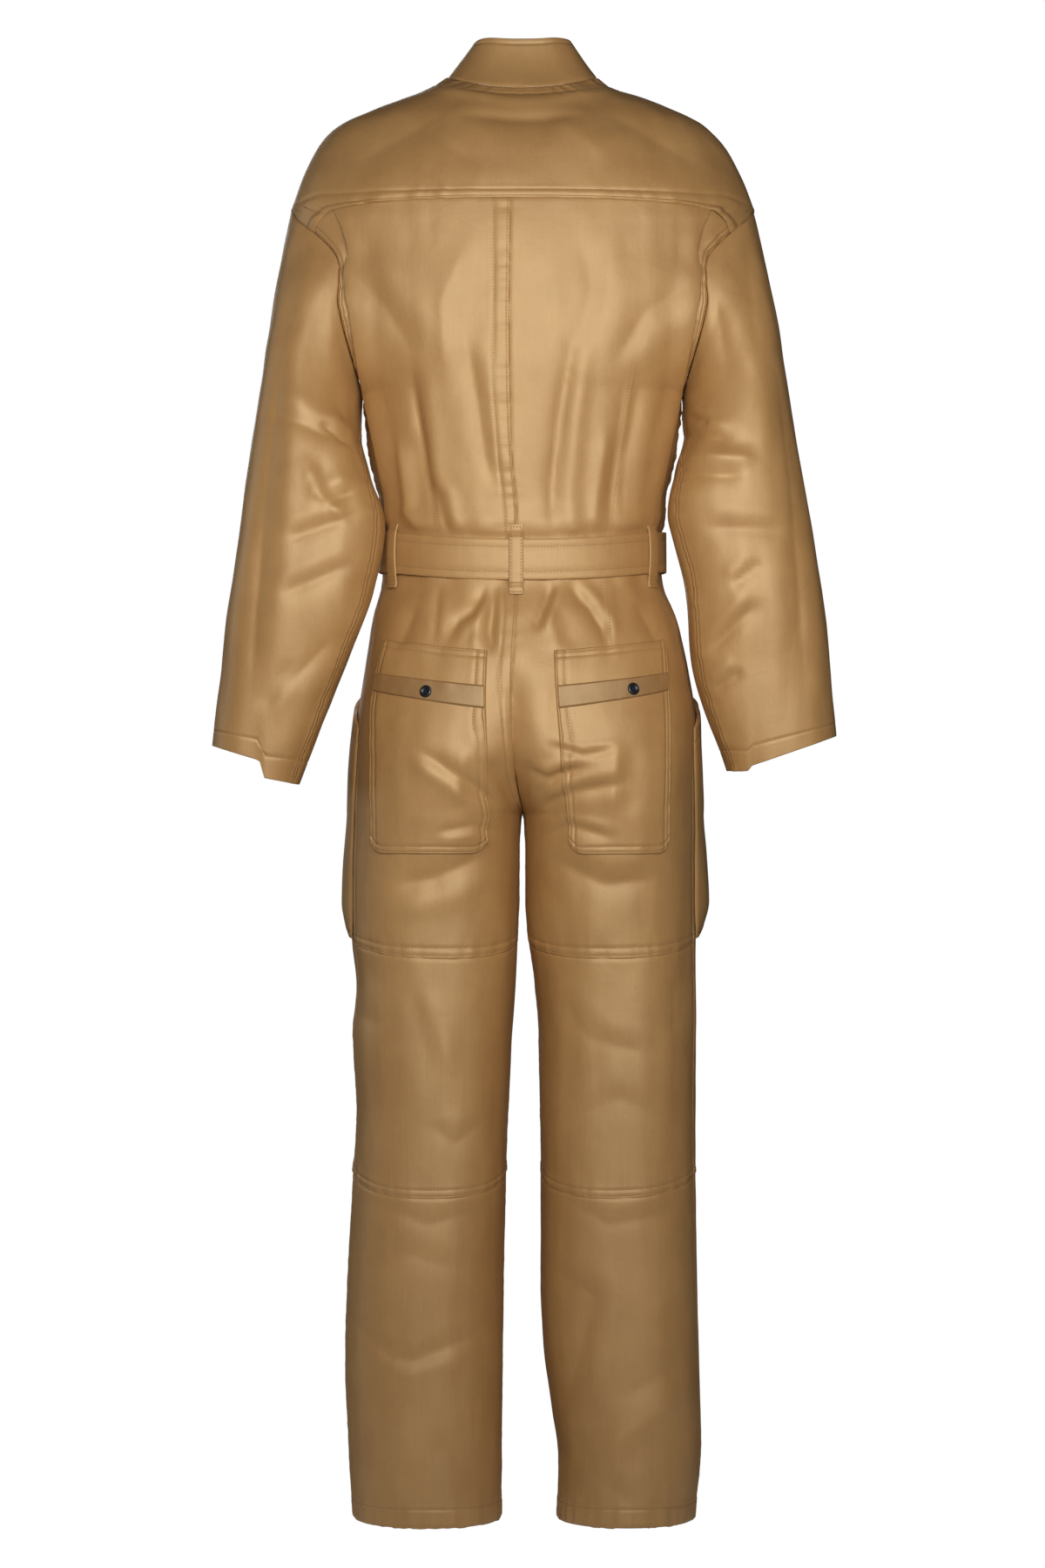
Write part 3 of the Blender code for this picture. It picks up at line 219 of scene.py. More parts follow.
def middle_x(points):
    """Where the middle of the garment hangs, at these points."""
    return LEAN(points[..., 2]) * ease(points[..., 1] / LEAN_DEPTH)


def cos_sin(degrees):
    return np.cos(np.radians(degrees)), np.sin(np.radians(degrees))


def signed_power(value, power):
    return np.sign(value) * np.abs(value) ** power


def section(angle, half_width, depth_back, depth_front, squareness):
    """Points of a squared ellipse, at angles in degrees from its outer end towards the back."""
    c, s = cos_sin(angle)
    power = 2 / squareness
    depth = np.where(s >= 0, depth_back, depth_front)
    return half_width * signed_power(c, power), depth * signed_power(s, power)


def scoop_at(turn):
    return ARMHOLE_SCOOP * SCOOP(np.minimum(turn, 360 - turn))


def armhole(turn):
    """Points of the armhole's edge. Turn 0 is the underarm and 180 the shoulder tip, up the back."""
    c, s = cos_sin(turn)
    x, z = ((low + high) / 2 + (low - high) / 2 * c for low, high in zip(UNDERARM, SHOULDER_TIP))
    return x - scoop_at(turn), ARMHOLE_HALF_DEPTH * s, z


def armhole_turn(z):
    """The armhole's turn at this height, on the back."""
    middle, half = (UNDERARM[1] + SHOULDER_TIP[1]) / 2, (UNDERARM[1] - SHOULDER_TIP[1]) / 2
    return np.degrees(np.arccos(np.clip((z - middle) / half, -1.0, 1.0)))


def torso_section(face, z):
    """Half width, depth and squareness of the torso, and the angle at which the armhole cuts it."""
    depth, squareness = TORSO_DEPTH[face](z), TORSO_SQUARENESS(z)
    x, y, _ = armhole(armhole_turn(z))
    share = np.clip(y / depth, 0.0, 0.999) ** squareness
    cut = x / (1 - share) ** (1 / squareness)
    over, under = z >= SHOULDER_TIP[1], z <= UNDERARM[1]
    half_width = np.where(over, SHOULDER_LINE(z), np.where(under, TORSO_SIDE(z), cut))
    end = np.where(over | under, 0.0, np.degrees(np.arcsin(np.sqrt(share))))
    return half_width, depth, squareness, end


def torso(side, face, u, z):
    """Points of the torso: u 0 is the centre line, 1 the side or the armhole."""
    half_width, depth, squareness, end = torso_section(face, z)
    x, y = section(90 + u * (end - 90), half_width, depth, depth, squareness)
    return lean(np.stack(np.broadcast_arrays(side * x, face * y, z), axis=-1))


def torso_u(face, x, z):
    """The u at which the torso is this far from its middle."""
    half_width, _, squareness, end = torso_section(face, z)
    angle = np.degrees(np.arccos(np.minimum(1.0, (x / half_width) ** (squareness / 2))))
    return (angle - 90) / (end - 90)


def leg_section(side, face, z):
    """Middle, half width, squareness, and the angles of the centre seam or inseam and of the side seam."""
    outer, squareness = LEG_OUTER[side](z), LEG_SQUARENESS(z)
    parting = PARTING[face](z)
    hip = z > CROTCH_Z
    inner = LEG_INNER[side](z)
    middle = np.where(hip, outer * parting / (1 + parting), (outer + inner) / 2)
    half_width = np.where(hip, outer / (1 + parting), (outer - inner) / 2)
    open_angle = 180 - np.degrees(np.arccos(np.minimum(1.0, parting ** (squareness / 2))))
    start = np.where(hip, open_angle, 180.0)
    return middle, half_width, squareness, face * start, SIDE_SEAM_ANGLE[side](z)


def leg(side, face, u, z):
    """Points of a leg: u 0 is the centre seam or inseam, 1 the side seam."""
    middle, half_width, squareness, start, end = leg_section(side, face, z)
    x, y = section(start + u * (end - start), half_width, LEG_BACK(z), LEG_FRONT(z), squareness)
    return lean(np.stack(np.broadcast_arrays(side * (middle + x), y, z), axis=-1))


def leg_u(side, x, z):
    """The u at which the back of a leg is this far from the middle of the body."""
    middle, half_width, squareness, start, end = leg_section(side, BACK, z)
    out = np.clip((x - middle) / half_width, -1.0, 1.0)
    angle = np.degrees(np.arccos(signed_power(out, squareness / 2)))
    return (angle - start) / (end - start)


def sleeve(side, turn, along):
    """Points of the sleeve: turn 0 is its seam, on the inside of the arm, and 180 its outer edge."""
    rings = SLEEVE_RINGS[side]
    x_in, z_in, x_out, z_out, y_mid, depth = (
        smooth(*[(ring[0], ring[k]) for ring in reversed(rings)])(along) for k in range(1, 7)
    )
    power = 1 - SLEEVE_FLATNESS * ease(along / 0.25)
    c, s = (signed_power(value, power) for value in cos_sin(turn))
    scoop = scoop_at(turn) * np.maximum(0.0, 1 - along / rings[1][0]) ** 2
    x = (x_in + x_out) / 2 + (x_in - x_out) / 2 * c - scoop
    z = (z_in + z_out) / 2 + (z_in - z_out) / 2 * c
    return np.stack(np.broadcast_arrays(side * x, y_mid + depth * s, z), axis=-1)


# ---------------------------------------------------------------- seam lines on the forms
ARMHOLE_CORNER = float(armhole(YOKE_TURN)[2])


def neck_place(face, s):
    """(u, z) on the neck seam: s 0 is the centre line and 1 the shoulder line."""
    low = NECK_BACK_Z if face == BACK else NECK_FRONT_Z
    z = NECK_SIDE_Z + (low - NECK_SIDE_Z) * cos_sin(90 * (1 - s))[1] ** 1.6
    return torso_u(face, SHOULDER_LINE(NECK_SIDE_Z) * cos_sin(90 * s)[1], z), z


def yoke_seam_z(u):
    """Height of the seam under the back yoke."""
    inner = YOKE_SEAM_MIDDLE_Z + (YOKE_SEAM_PLEAT_Z - YOKE_SEAM_MIDDLE_Z) * (u / PLEAT_U) ** 2
    outer = YOKE_SEAM_PLEAT_Z + (ARMHOLE_CORNER - YOKE_SEAM_PLEAT_Z) * ((u - PLEAT_U) / (1 - PLEAT_U))
    return np.where(u < PLEAT_U, inner, outer)


def yoke_front(t):
    """(u, z) of the yoke's front seam, from the neck (0) to the armhole (1)."""
    u, start = neck_place(FRONT, YOKE_FRONT_NECK)
    x_neck = torso(LEFT, FRONT, u, start)[..., 0]
    x_corner = armhole(YOKE_TURN)[0]
    z = start + (ARMHOLE_CORNER - start) * (0.35 * t + 0.65 * t**2.2)
    return np.where(t >= 1, 1.0, torso_u(FRONT, x_neck + (x_corner - x_neck) * t, z)), z


# ---------------------------------------------------------------- folds, placed on the back
# Each fold: its width, its depth (a valley's is negative), then (x, z) points along it.
BACK_FOLDS = (
    (0.009, -0.0055, (-0.056, -0.250), (-0.040, -0.345), (-0.031, -0.420), (-0.029, -0.490)),
    (0.010, -0.0045, (0.062, -0.250), (0.047, -0.335), (0.040, -0.390), (0.024, -0.440)),
    (0.008, -0.0045, (0.118, -0.280), (0.102, -0.410), (0.088, -0.470)),
    (0.006, -0.0035, (0.092, -0.415), (0.074, -0.480)),
    (0.008, 0.0045, (0.132, -0.360), (0.120, -0.445), (0.098, -0.478)),
    (0.010, -0.0040, (-0.126, -0.285), (-0.108, -0.390), (-0.102, -0.475)),
    (0.009, 0.0035, (-0.090, -0.350), (-0.078, -0.430), (-0.070, -0.480)),
    (0.024, 0.0045, (-0.030, -0.030), (-0.092, -0.080)),
    (0.020, -0.0035, (0.118, -0.038), (0.036, -0.092)),
    (0.014, -0.0030, (0.072, -0.020), (0.185, -0.088)),
    (0.014, -0.0030, (-0.082, -0.020), (-0.188, -0.086)),
    (0.006, -0.0030, (0.080, -0.030), (0.000, -0.036), (-0.074, -0.030)),
    (0.014, -0.0035, (-0.180, -0.205), (-0.130, -0.240), (-0.092, -0.300)),
    (0.014, -0.0035, (0.186, -0.190), (0.146, -0.230), (0.110, -0.290)),
    (0.016, -0.0030, (-0.060, -0.150), (-0.072, -0.215), (-0.050, -0.300)),
    (0.016, 0.0030, (0.050, -0.150), (0.085, -0.230), (0.080, -0.320)),
)
SEAT_FOLDS = (
    (0.006, -0.0045, (0.034, -0.518), (0.052, -0.552), (0.068, -0.562), (0.080, -0.586)),
    (0.005, -0.0045, (0.029, -0.518), (0.034, -0.575), (0.031, -0.598)),
    (0.005, -0.0045, (-0.034, -0.518), (-0.011, -0.578)),
    (0.006, -0.0045, (-0.044, -0.520), (-0.071, -0.548), (-0.084, -0.570), (-0.086, -0.590)),
    (0.009, 0.0035, (0.043, -0.538), (0.052, -0.600)),
    (0.008, 0.0025, (-0.026, -0.546), (-0.038, -0.600)),
    (0.0040, -0.0030, (-0.020, -0.690), (-0.062, -0.703), (-0.104, -0.696)),
    (0.0050, -0.0035, (0.000, -0.716), (-0.030, -0.728), (-0.066, -0.712)),
    (0.0070, -0.0045, (0.008, -0.768), (0.056, -0.732), (0.118, -0.690)),
    (0.008, -0.0035, (0.002, -0.760), (0.038, -0.704)),
    (0.015, -0.0055, (0.009, -0.590), (0.009, -0.690), (0.002, -0.790)),
    (0.0070, -0.0045, (-0.008, -0.764), (-0.052, -0.742), (-0.118, -0.728)),
    (0.0060, -0.0035, (-0.006, -0.756), (-0.036, -0.724), (-0.078, -0.712)),
    (0.0050, -0.0030, (0.018, -0.790), (0.052, -0.776), (0.096, -0.784)),
    (0.0050, -0.0030, (-0.016, -0.792), (-0.050, -0.776), (-0.100, -0.790)),
    (0.013, -0.0045, (0.022, -0.800), (0.092, -0.832), (0.150, -0.842)),
    (0.013, -0.0045, (-0.020, -0.808), (-0.086, -0.838), (-0.150, -0.832)),
    (0.012, -0.0035, (0.110, -0.540), (0.135, -0.600)),
    (0.012, -0.0035, (-0.118, -0.540), (-0.150, -0.595)),
    (0.010, 0.0035, (0.060, -0.690), (0.072, -0.760)),
    (0.010, 0.0035, (-0.098, -0.680), (-0.092, -0.770)),
)
LEG_FOLDS = (
    (0.016, -0.0060, (0.182, -0.975), (0.152, -0.985), (0.128, -0.968)),
    (0.009, -0.0050, (0.104, -1.083), (0.072, -1.110), (0.038, -1.084)),
    (0.012, 0.0050, (0.106, -0.940), (0.070, -1.045)),
    (0.012, -0.0040, (0.120, -0.935), (0.092, -1.050)),
    (0.015, -0.0060, (-0.162, -0.930), (-0.160, -1.005)),
    (0.011, -0.0045, (-0.030, -0.950), (-0.070, -1.000), (-0.150, -1.020)),
    (0.011, -0.0040, (-0.035, -1.090), (-0.100, -1.062), (-0.165, -1.090)),
    (0.009, -0.0055, (0.192, -1.290), (0.140, -1.334), (0.114, -1.338), (0.026, -1.302)),
    (0.012, 0.0040, (0.180, -1.312), (0.125, -1.356), (0.040, -1.328)),
    (0.012, -0.0060, (-0.016, -1.235), (-0.076, -1.272), (-0.034, -1.418)),
    (0.014, 0.0055, (-0.170, -1.374), (-0.072, -1.440)),
    (0.012, -0.0040, (-0.178, -1.335), (-0.090, -1.385)),
    (0.012, -0.0035, (0.168, -1.212), (0.040, -1.250)),
    (0.012, -0.0035, (0.092, -1.412), (0.036, -1.482)),
    (0.012, -0.0035, (0.165, -1.395), (0.120, -1.470)),
    (0.012, -0.0035, (-0.060, -1.450), (-0.120, -1.490)),
    (0.010, -0.0040, (-0.028, -1.160), (-0.090, -1.195), (-0.176, -1.180)),
    (0.010, -0.0040, (0.178, -1.165), (0.100, -1.195), (0.030, -1.176)),
)
SLEEVE_FOLDS = {
    LEFT: (
        (0.008, 0.0060, (0.230, -0.385), (0.214, -0.430), (0.176, -0.466)),
        (0.006, -0.0060, (0.212, -0.352), (0.178, -0.380)),
        (0.009, -0.0060, (0.216, -0.448), (0.168, -0.424)),
        (0.010, -0.0045, (0.278, -0.335), (0.184, -0.378)),
        (0.009, -0.0050, (0.256, -0.482), (0.156, -0.446)),
        (0.009, -0.0040, (0.262, -0.540), (0.168, -0.500)),
        (0.018, -0.0045, (0.238, -0.150), (0.252, -0.280)),
        (0.012, -0.0035, (0.204, -0.200), (0.232, -0.330)),
        (0.010, -0.0035, (0.190, -0.575), (0.255, -0.640)),
        (0.015, -0.0065, (0.246, -0.190), (0.266, -0.400), (0.280, -0.560), (0.286, -0.700)),
        (0.008, -0.0030, (0.240, -0.600), (0.276, -0.662)),
    ),
    RIGHT: (
        (0.006, -0.0055, (-0.172, -0.346), (-0.198, -0.356)),
        (0.008, -0.0055, (-0.164, -0.362), (-0.220, -0.376)),
        (0.009, -0.0050, (-0.156, -0.410), (-0.236, -0.412)),
        (0.009, 0.0050, (-0.176, -0.388), (-0.250, -0.396)),
        (0.008, -0.0055, (-0.190, -0.600), (-0.252, -0.538)),
        (0.007, -0.0045, (-0.216, -0.530), (-0.252, -0.498)),
        (0.007, -0.0045, (-0.198, -0.638), (-0.232, -0.612)),
        (0.016, -0.0045, (-0.236, -0.150), (-0.246, -0.290)),
        (0.012, -0.0040, (-0.200, -0.210), (-0.218, -0.320)),
        (0.015, -0.0055, (-0.262, -0.240), (-0.286, -0.450), (-0.298, -0.680)),
        (0.010, -0.0040, (-0.180, -0.465), (-0.290, -0.470)),
    ),
}
# Waist darts, as (x, z) points along them.
TORSO_DARTS = (
    ((0.118, -0.302), (0.100, -0.400), (0.088, -0.470)),
    ((-0.110, -0.286), (-0.095, -0.410), (-0.087, -0.473)),
)
SEAT_DARTS = (
    ((0.088, -0.520), (0.094, -0.592)),
    ((-0.083, -0.520), (-0.090, -0.612)),
)
DART_FOLD = (0.0045, -0.0016)       # width and depth
# For each group of pieces, its folds and how strong they are.
FOLDS = {
    "torso": ((BACK_FOLDS, 0.85), ([(*DART_FOLD, *line) for line in TORSO_DARTS], 1.0)),
    "leg": ((SEAT_FOLDS, 1.0), (LEG_FOLDS, 0.35), ([(*DART_FOLD, *line) for line in SEAT_DARTS], 1.0)),
    "sleeve_left": ((SLEEVE_FOLDS[LEFT], 0.8),),
    "sleeve_right": ((SLEEVE_FOLDS[RIGHT], 0.8),),
    "collar": (),
}
# For each group of pieces, the slack of its cloth: height, scale along x, y and z, and seed.
SLEEVE_SLACK = (
    (0.0015, (11.0, 11.0, 5.0), 11.0), (0.0006, (24.0, 24.0, 16.0), 13.0), (0.0006, (50.0, 50.0, 5.0), 15.0),
)
SLACK = {
    "torso": ((0.0012, (11.0, 11.0, 5.0), 3.0), (0.0004, (50.0, 50.0, 4.0), 4.0)),
    "leg": (
        (0.0016, (9.0, 9.0, 5.0), 5.0), (0.0006, (20.0, 20.0, 10.0), 7.0), (0.0004, (50.0, 50.0, 5.0), 6.0),
    ),
    "sleeve_left": SLEEVE_SLACK,
    "sleeve_right": SLEEVE_SLACK,
    "collar": ((0.0012, (20.0, 20.0, 14.0), 19.0),),
}
CLOTH_WAVES = (0.00025, (60.0, 60.0, 30.0), 17.0)
BLOUSING, BLOUSING_HEIGHT = 0.0045, 0.016       # how far the bodice swells over the belt, and where above it
GATHERS_ABOVE, GATHERS_ABOVE_REACH = 0.0032, 0.035
GATHERS_BELOW, GATHERS_BELOW_REACH = 0.0026, 0.030
BELTED_RELIEF = (-0.0040, 0.0008)               # what the belt leaves of the folds under it
FRONT_FOLD_STRENGTH = 0.65
FOLD_FADE = 0.30                                # share of a fold's length over which each end dies out


def fold_depth(points, fold):
    """How far a fold moves (x, z) points: a trough with a swell along one side, dying out at its ends."""
    width, depth, *line = fold
    line = np.array(line)
    runs = np.linalg.norm(np.diff(line, axis=0), axis=1)
    total = runs.sum()
    best = np.full(len(points), 1e9)
    signed, along = np.zeros(len(points)), np.zeros(len(points))
    before = 0.0
    for a, b, run in zip(line[:-1], line[1:], runs):
        way = (b - a) / run
        t = np.clip((points - a) @ way, 0.0, run)
        off = points - a - t[:, None] * way
        distance = np.linalg.norm(off, axis=1)
        nearer = distance < best
        best = np.where(nearer, distance, best)
        signed = np.where(nearer, np.sign(off[:, 0] * way[1] - off[:, 1] * way[0]) * distance, signed)
        along = np.where(nearer, before + t, along)
        before += run
    fade = ease(along / total / FOLD_FADE) * ease((1 - along / total) / FOLD_FADE)
    trough = np.exp(-((best / width) ** 1.25))
    swell = np.exp(-(((signed - 1.8 * width) / (1.1 * width)) ** 2))
    return depth * fade * (trough - 0.5 * swell)


def folds_at(points, facing, folds, strength, mirrored):
    """Folds as placed on the back, and milder ones on the front, mirrored or not."""
    flat = points.reshape(-1, 3)
    depth = np.zeros(len(flat))
    behind = ease(facing.reshape(-1) * 2.2 + 0.35)
    seen = flat[:, [0, 2]]
    in_front = seen * (-1, 1) if mirrored else seen
    for fold in folds:
        depth += behind * fold_depth(seen, fold)
        depth += FRONT_FOLD_STRENGTH * (1 - behind) * fold_depth(in_front, fold)
    return strength * depth.reshape(points.shape[:2])


def noise_at(points, scale, seed):
    """Smooth noise from -1 to 1 at points, each axis scaled on its own."""
    flat = points.reshape(-1, 3) * scale + seed
    return np.array([noise.noise(Vector(p)) for p in flat]).reshape(points.shape[:-1]) * 1.6


def belt_middle(angle):
    """Height of the belt's middle: it dips at the centre back and a little at the centre front."""
    s = cos_sin(angle)[1]
    return BELT_MIDDLE_Z - np.where(s > 0, BELT_BACK_DIP, BELT_FRONT_DIP) * s * s


def looseness(group, z):
    """How freely the cloth hangs at this height, from 0 to 1."""
    if group == "leg":
        return ease((-z - 0.52) / 0.08)
    if group in ("sleeve_left", "sleeve_right"):
        return ease((SHOULDER_TIP[1] - z) / 0.05)
    return 1.0


def relief(points, normals, group):
    """How far the cloth stands out of its form: folds, slack and gathers."""
    facing, z = normals[..., 1], points[..., 2]
    depth = np.zeros(z.shape)
    for folds, strength in FOLDS[group]:
        depth += folds_at(points, facing, folds, strength, mirrored=group in ("torso", "leg"))
    for height, scale, seed in SLACK[group]:
        depth += looseness(group, z) * height * noise_at(points, scale, seed)
    from_belt = z - belt_middle(np.degrees(np.arctan2(points[..., 1], points[..., 0])))
    if group == "torso":
        above = np.maximum(from_belt - BELT_HEIGHT / 2, 0.0)
        swell = np.exp(-(((above - BLOUSING_HEIGHT) / BLOUSING_HEIGHT) ** 2))
        depth += BLOUSING * swell * ease((z + 0.50) / 0.02)
        gathers = GATHERS_ABOVE * np.exp(-above / GATHERS_ABOVE_REACH)
        depth += gathers * noise_at(points, (42.0, 42.0, 3.0), 8.0) * ease((-z - 0.3) / 0.1)
    elif group == "leg":
        below = np.maximum(-z - 0.515, 0.0)
        gathers = GATHERS_BELOW * np.exp(-below / GATHERS_BELOW_REACH)
        depth += gathers * noise_at(points, (40.0, 40.0, 3.0), 9.0)
    height, scale, seed = CLOTH_WAVES
    depth += height * noise_at(points, scale, seed)
    if group in ("torso", "leg"):
        near = 1 - ease((np.abs(from_belt) - 0.020) / 0.010)
        depth = depth * (1 - near) + np.clip(depth, *BELTED_RELIEF) * near
    return depth


# ---------------------------------------------------------------- pieces as grids
# The edges of a piece, how far its stitched lines lie from them, and how the cloth dips and puckers at its
# seams.
ALL_EDGES = ("top", "bottom", "left", "right")
DOUBLE = (0.0020, 0.0090)               # how far the rows of a double row of stitches are from their edge
CENTRE_DOUBLE = (0.0015, 0.0100)
HEM_LINE = (0.0200,)
STITCHES = []           # (points, normals) of every stitched line
GROOVE = 0.0007         # how far the cloth dips at a seam
EDGE_MARKS = (0.0, 0.0008, 0.0019)
STITCH_DIP = 0.0007     # how far a row of stitches is sunk
STITCHED_PUCKER, PLAIN_PUCKER = 0.0011, 0.0003
BESIDE_STITCHES = 0.0009
TURNED_GAP = 0.0017     # between the cloth and the hem that is turned up inside it


def graded(width, first=(), last=(), step=STEP):
    """Places from 0 to 1 across this width: even steps, finer at both edges and beside stitched lines."""
    marks = {0.0, width}
    marks |= set(EDGE_MARKS) | {width - m for m in EDGE_MARKS}
    for s in (*first, *(width - s for s in last)):
        marks |= {s - BESIDE_STITCHES, s, s + BESIDE_STITCHES}
    marks = sorted(round(m, 6) for m in marks)
    places = []
    for a, b in zip(marks, marks[1:]):
        n = max(1, round((b - a) / step))
        places += [a + (b - a) * k / n for k in range(n)]
    return np.array(places + [width]) / width


def unit(v):
    """Vectors scaled to length 1."""
    return v / np.maximum(np.linalg.norm(v, axis=-1, keepdims=True), 1e-12)


def form_normals(form, u, z, outward_of):
    """Outward normals of a form. outward_of is a point in plan that the cloth goes round."""
    e = 1e-3
    along_u = form(u + e, z) - form(u - e, z)
    along_z = form(u, z + e) - form(u, z - e)
    normals = unit(np.cross(along_u, along_z))
    away = form(u, z)[..., :2] - np.asarray(outward_of)
    inwards = (normals[..., :2] * away).sum(axis=-1) < 0
    return np.where(inwards[..., None], -normals, normals)


def edge_distances(points):
    """Distance along the cloth of every grid point from its top, bottom, left and right edge."""
    down = np.linalg.norm(np.diff(points, axis=0), axis=2)
    across = np.linalg.norm(np.diff(points, axis=1), axis=2)
    top = np.concatenate([np.zeros((1, points.shape[1])), np.cumsum(down, axis=0)])
    left = np.concatenate([np.zeros((points.shape[0], 1)), np.cumsum(across, axis=1)], axis=1)
    return {"top": top, "bottom": top[-1:] - top, "left": left, "right": left[:, -1:] - left}


def edge_line(points, edge):
    """The outermost row or column at an edge, still as a grid."""
    return {"top": points[:1], "bottom": points[-1:], "left": points[:, :1], "right": points[:, -1:]}[edge]


def seamed(points, depth, group, seams, stitched, spans):
    """Adds each edge's groove, its raised seam allowance and its puckers. Returns the depth."""
    distances = edge_distances(points)
    for edge in seams:
        d = distances[edge]
        lines = stitched.get(edge, ())
        depth = depth - GROOVE * (1 - ease(d / 0.0019))
        reach = max(lines, default=0.0)
        if reach:
            depth = depth + 0.0005 * ease((d - 0.0012) / 0.001) * (1 - ease((d - reach - 0.0005) / 0.002))
        line = edge_line(points, edge)
        pucker = 0.7 * noise_at(line, 75.0, 21.0) + 0.9 * noise_at(line, 165.0, 23.0)
        gathered = lines and (group != "leg" or edge in ("top", "bottom"))
        strength = STITCHED_PUCKER if gathered else PLAIN_PUCKER
        depth = depth + strength * pucker * np.exp(-((d / (reach + 0.006)) ** 2)) * ease(d / 0.001)
    return sunk(depth, stitched, spans)


def sunk(depth, stitched, spans):
    """The depth with every row of stitches sunk into the cloth."""
    for edge, index in stitched_lines(stitched, spans):
        grid_line(depth, edge, index)[...] -= STITCH_DIP
    return depth


def sew(shaped, own, stitched, spans):
    """Notes where the stitched lines run, for the thread that is laid along them at the end."""
    for edge, index in stitched_lines(stitched, spans):
        STITCHES.append((grid_line(shaped, edge, index), grid_line(own, edge, index)))


def stitched_lines(stitched, spans):
    """The edge of every stitched line, and the grid row or column that it runs along."""
    return [(edge, line_index(spans, edge, s)) for edge, lines in stitched.items() for s in lines]


def grid_line(grid, edge, index):
    """A row of the grid beside its top or bottom edge, or a column beside its left or right one."""
    return grid[index] if edge in ("top", "bottom") else grid[:, index]


def line_index(spans, edge, s):
    """The grid row or column that a stitched line at this distance from an edge runs along."""
    places, width = spans["rows" if edge in ("top", "bottom") else "columns"]
    at = s / width if edge in ("top", "left") else 1 - s / width
    return int(np.argmin(np.abs(places - at)))


def grid_normals(points):
    return unit(np.cross(np.gradient(points, axis=1), np.gradient(points, axis=0)))


def cloth_normals(shaped, normals):
    """The shaped cloth's own normals, on the same side as its form's."""
    own = grid_normals(shaped)
    return own * np.sign((own * normals).sum(axis=-1, keepdims=True))


def turned(points, normals, edge_rows):
    """Rows that turn the cloth under at its last row and lead back up inside it."""
    drop = unit(points[-1] - points[-2])
    rows = [points[-1] - normals[-1] * 0.0008 + drop * 0.0005, points[-1] - normals[-1] * TURNED_GAP]
    inside = range(len(points) - 2, len(points) - 2 - edge_rows, -1)
    rows += [points[k] - normals[k] * TURNED_GAP for k in inside]
    return np.concatenate([points, np.array(rows)])


def add_object(name, verts, faces, material_name):
    """A smooth-shaded object that rides with the suit."""
    mesh = bpy.data.meshes.new(name)
    mesh.from_pydata(verts.tolist(), [], faces)
    mesh.shade_smooth()
    mesh.materials.append(bpy.data.materials[material_name])
    obj = bpy.data.objects.new(name, mesh)
    bpy.context.scene.collection.objects.link(obj)
    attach(obj, "root")
    return obj


def cloth_mesh(name, grid, material_name="sateen", tube=False):
    """An object from a grid of points. In a tube the rows close on themselves and the ends are capped."""
    rows, columns = grid.shape[:2]
    index = np.arange(rows * columns).reshape(rows, columns)
    if tube:
        index = np.concatenate([index, index[:, :1]], axis=1)
    cells = np.stack([index[:-1, :-1], index[1:, :-1], index[1:, 1:], index[:-1, 1:]], axis=-1)
    faces = cells.reshape(-1, 4).tolist()
    if tube:
        faces += [index[0, :-1].tolist(), index[-1, :-1][::-1].tolist()]
    return add_object(name, grid.reshape(-1, 3), faces, material_name)


def outward_normals(points):
    """The grid's own normals, turned away from the middle of the body."""
    normals = grid_normals(points)
    return normals * np.sign((normals[..., :2] * points[..., :2]).sum())


def panel(
    name, points, normals, group, rows, columns, stitched, turn=None, extra=0.0, pinned=(), seams=ALL_EDGES
):
    """Shapes one cut piece from its grid on the form, sews its edges, makes its mesh and hides its part from
    the model.

    rows and columns are (places, width). turn is how many rows lead back inside at "top" or "bottom",
    and pinned is how near each of these edges the cloth keeps to its form.
    """
    distances = edge_distances(points)
    depth = relief(points, normals, group) + extra
    for edge, reach in pinned:
        depth = depth * ease(distances[edge] / reach)
    spans = {"rows": rows, "columns": columns}
    depth = seamed(points, depth, group, seams, stitched, spans)
    shaped = points + normals * depth[..., None]
    if group == "leg":
        shaped = kept_to_its_side(shaped, LEFT if points[..., 0].mean() > 0 else RIGHT)
    own = cloth_normals(shaped, normals)
    sew(shaped, own, stitched, spans)
    grid = shaped
    if turn:
        edge, count = turn
        grid = turned(shaped, own, count) if edge == "bottom" else turned(shaped[::-1], own[::-1], count)
    obj = cloth_mesh(f"cloth_{name}", grid)
    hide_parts(name)


def kept_to_its_side(points, side):
    """Keeps a leg on its own side of the middle."""
    middle = middle_x(points)
    points[..., 0] = middle + side * np.maximum(side * (points[..., 0] - middle), 0.0)
    return points


# ---------------------------------------------------------------- bodice
def bodice_z(level, top):
    """Height in the column that starts at height top, of the row whose armhole end is at this level."""
    share = (level - ARMHOLE_CORNER) / (UNDERARM[1] - ARMHOLE_CORNER)
    return np.where(level <= UNDERARM[1], level, top + share * (UNDERARM[1] - top))


def pleat_us(level):
    """The u of the pleat's outer and inner fold."""
    z = bodice_z(level, yoke_seam_z(PLEAT_U))
    edge = torso_u(BACK, PLEAT_EDGE(z), z)
    return edge, edge - PLEAT_RETURN(z) / U_WIDTH


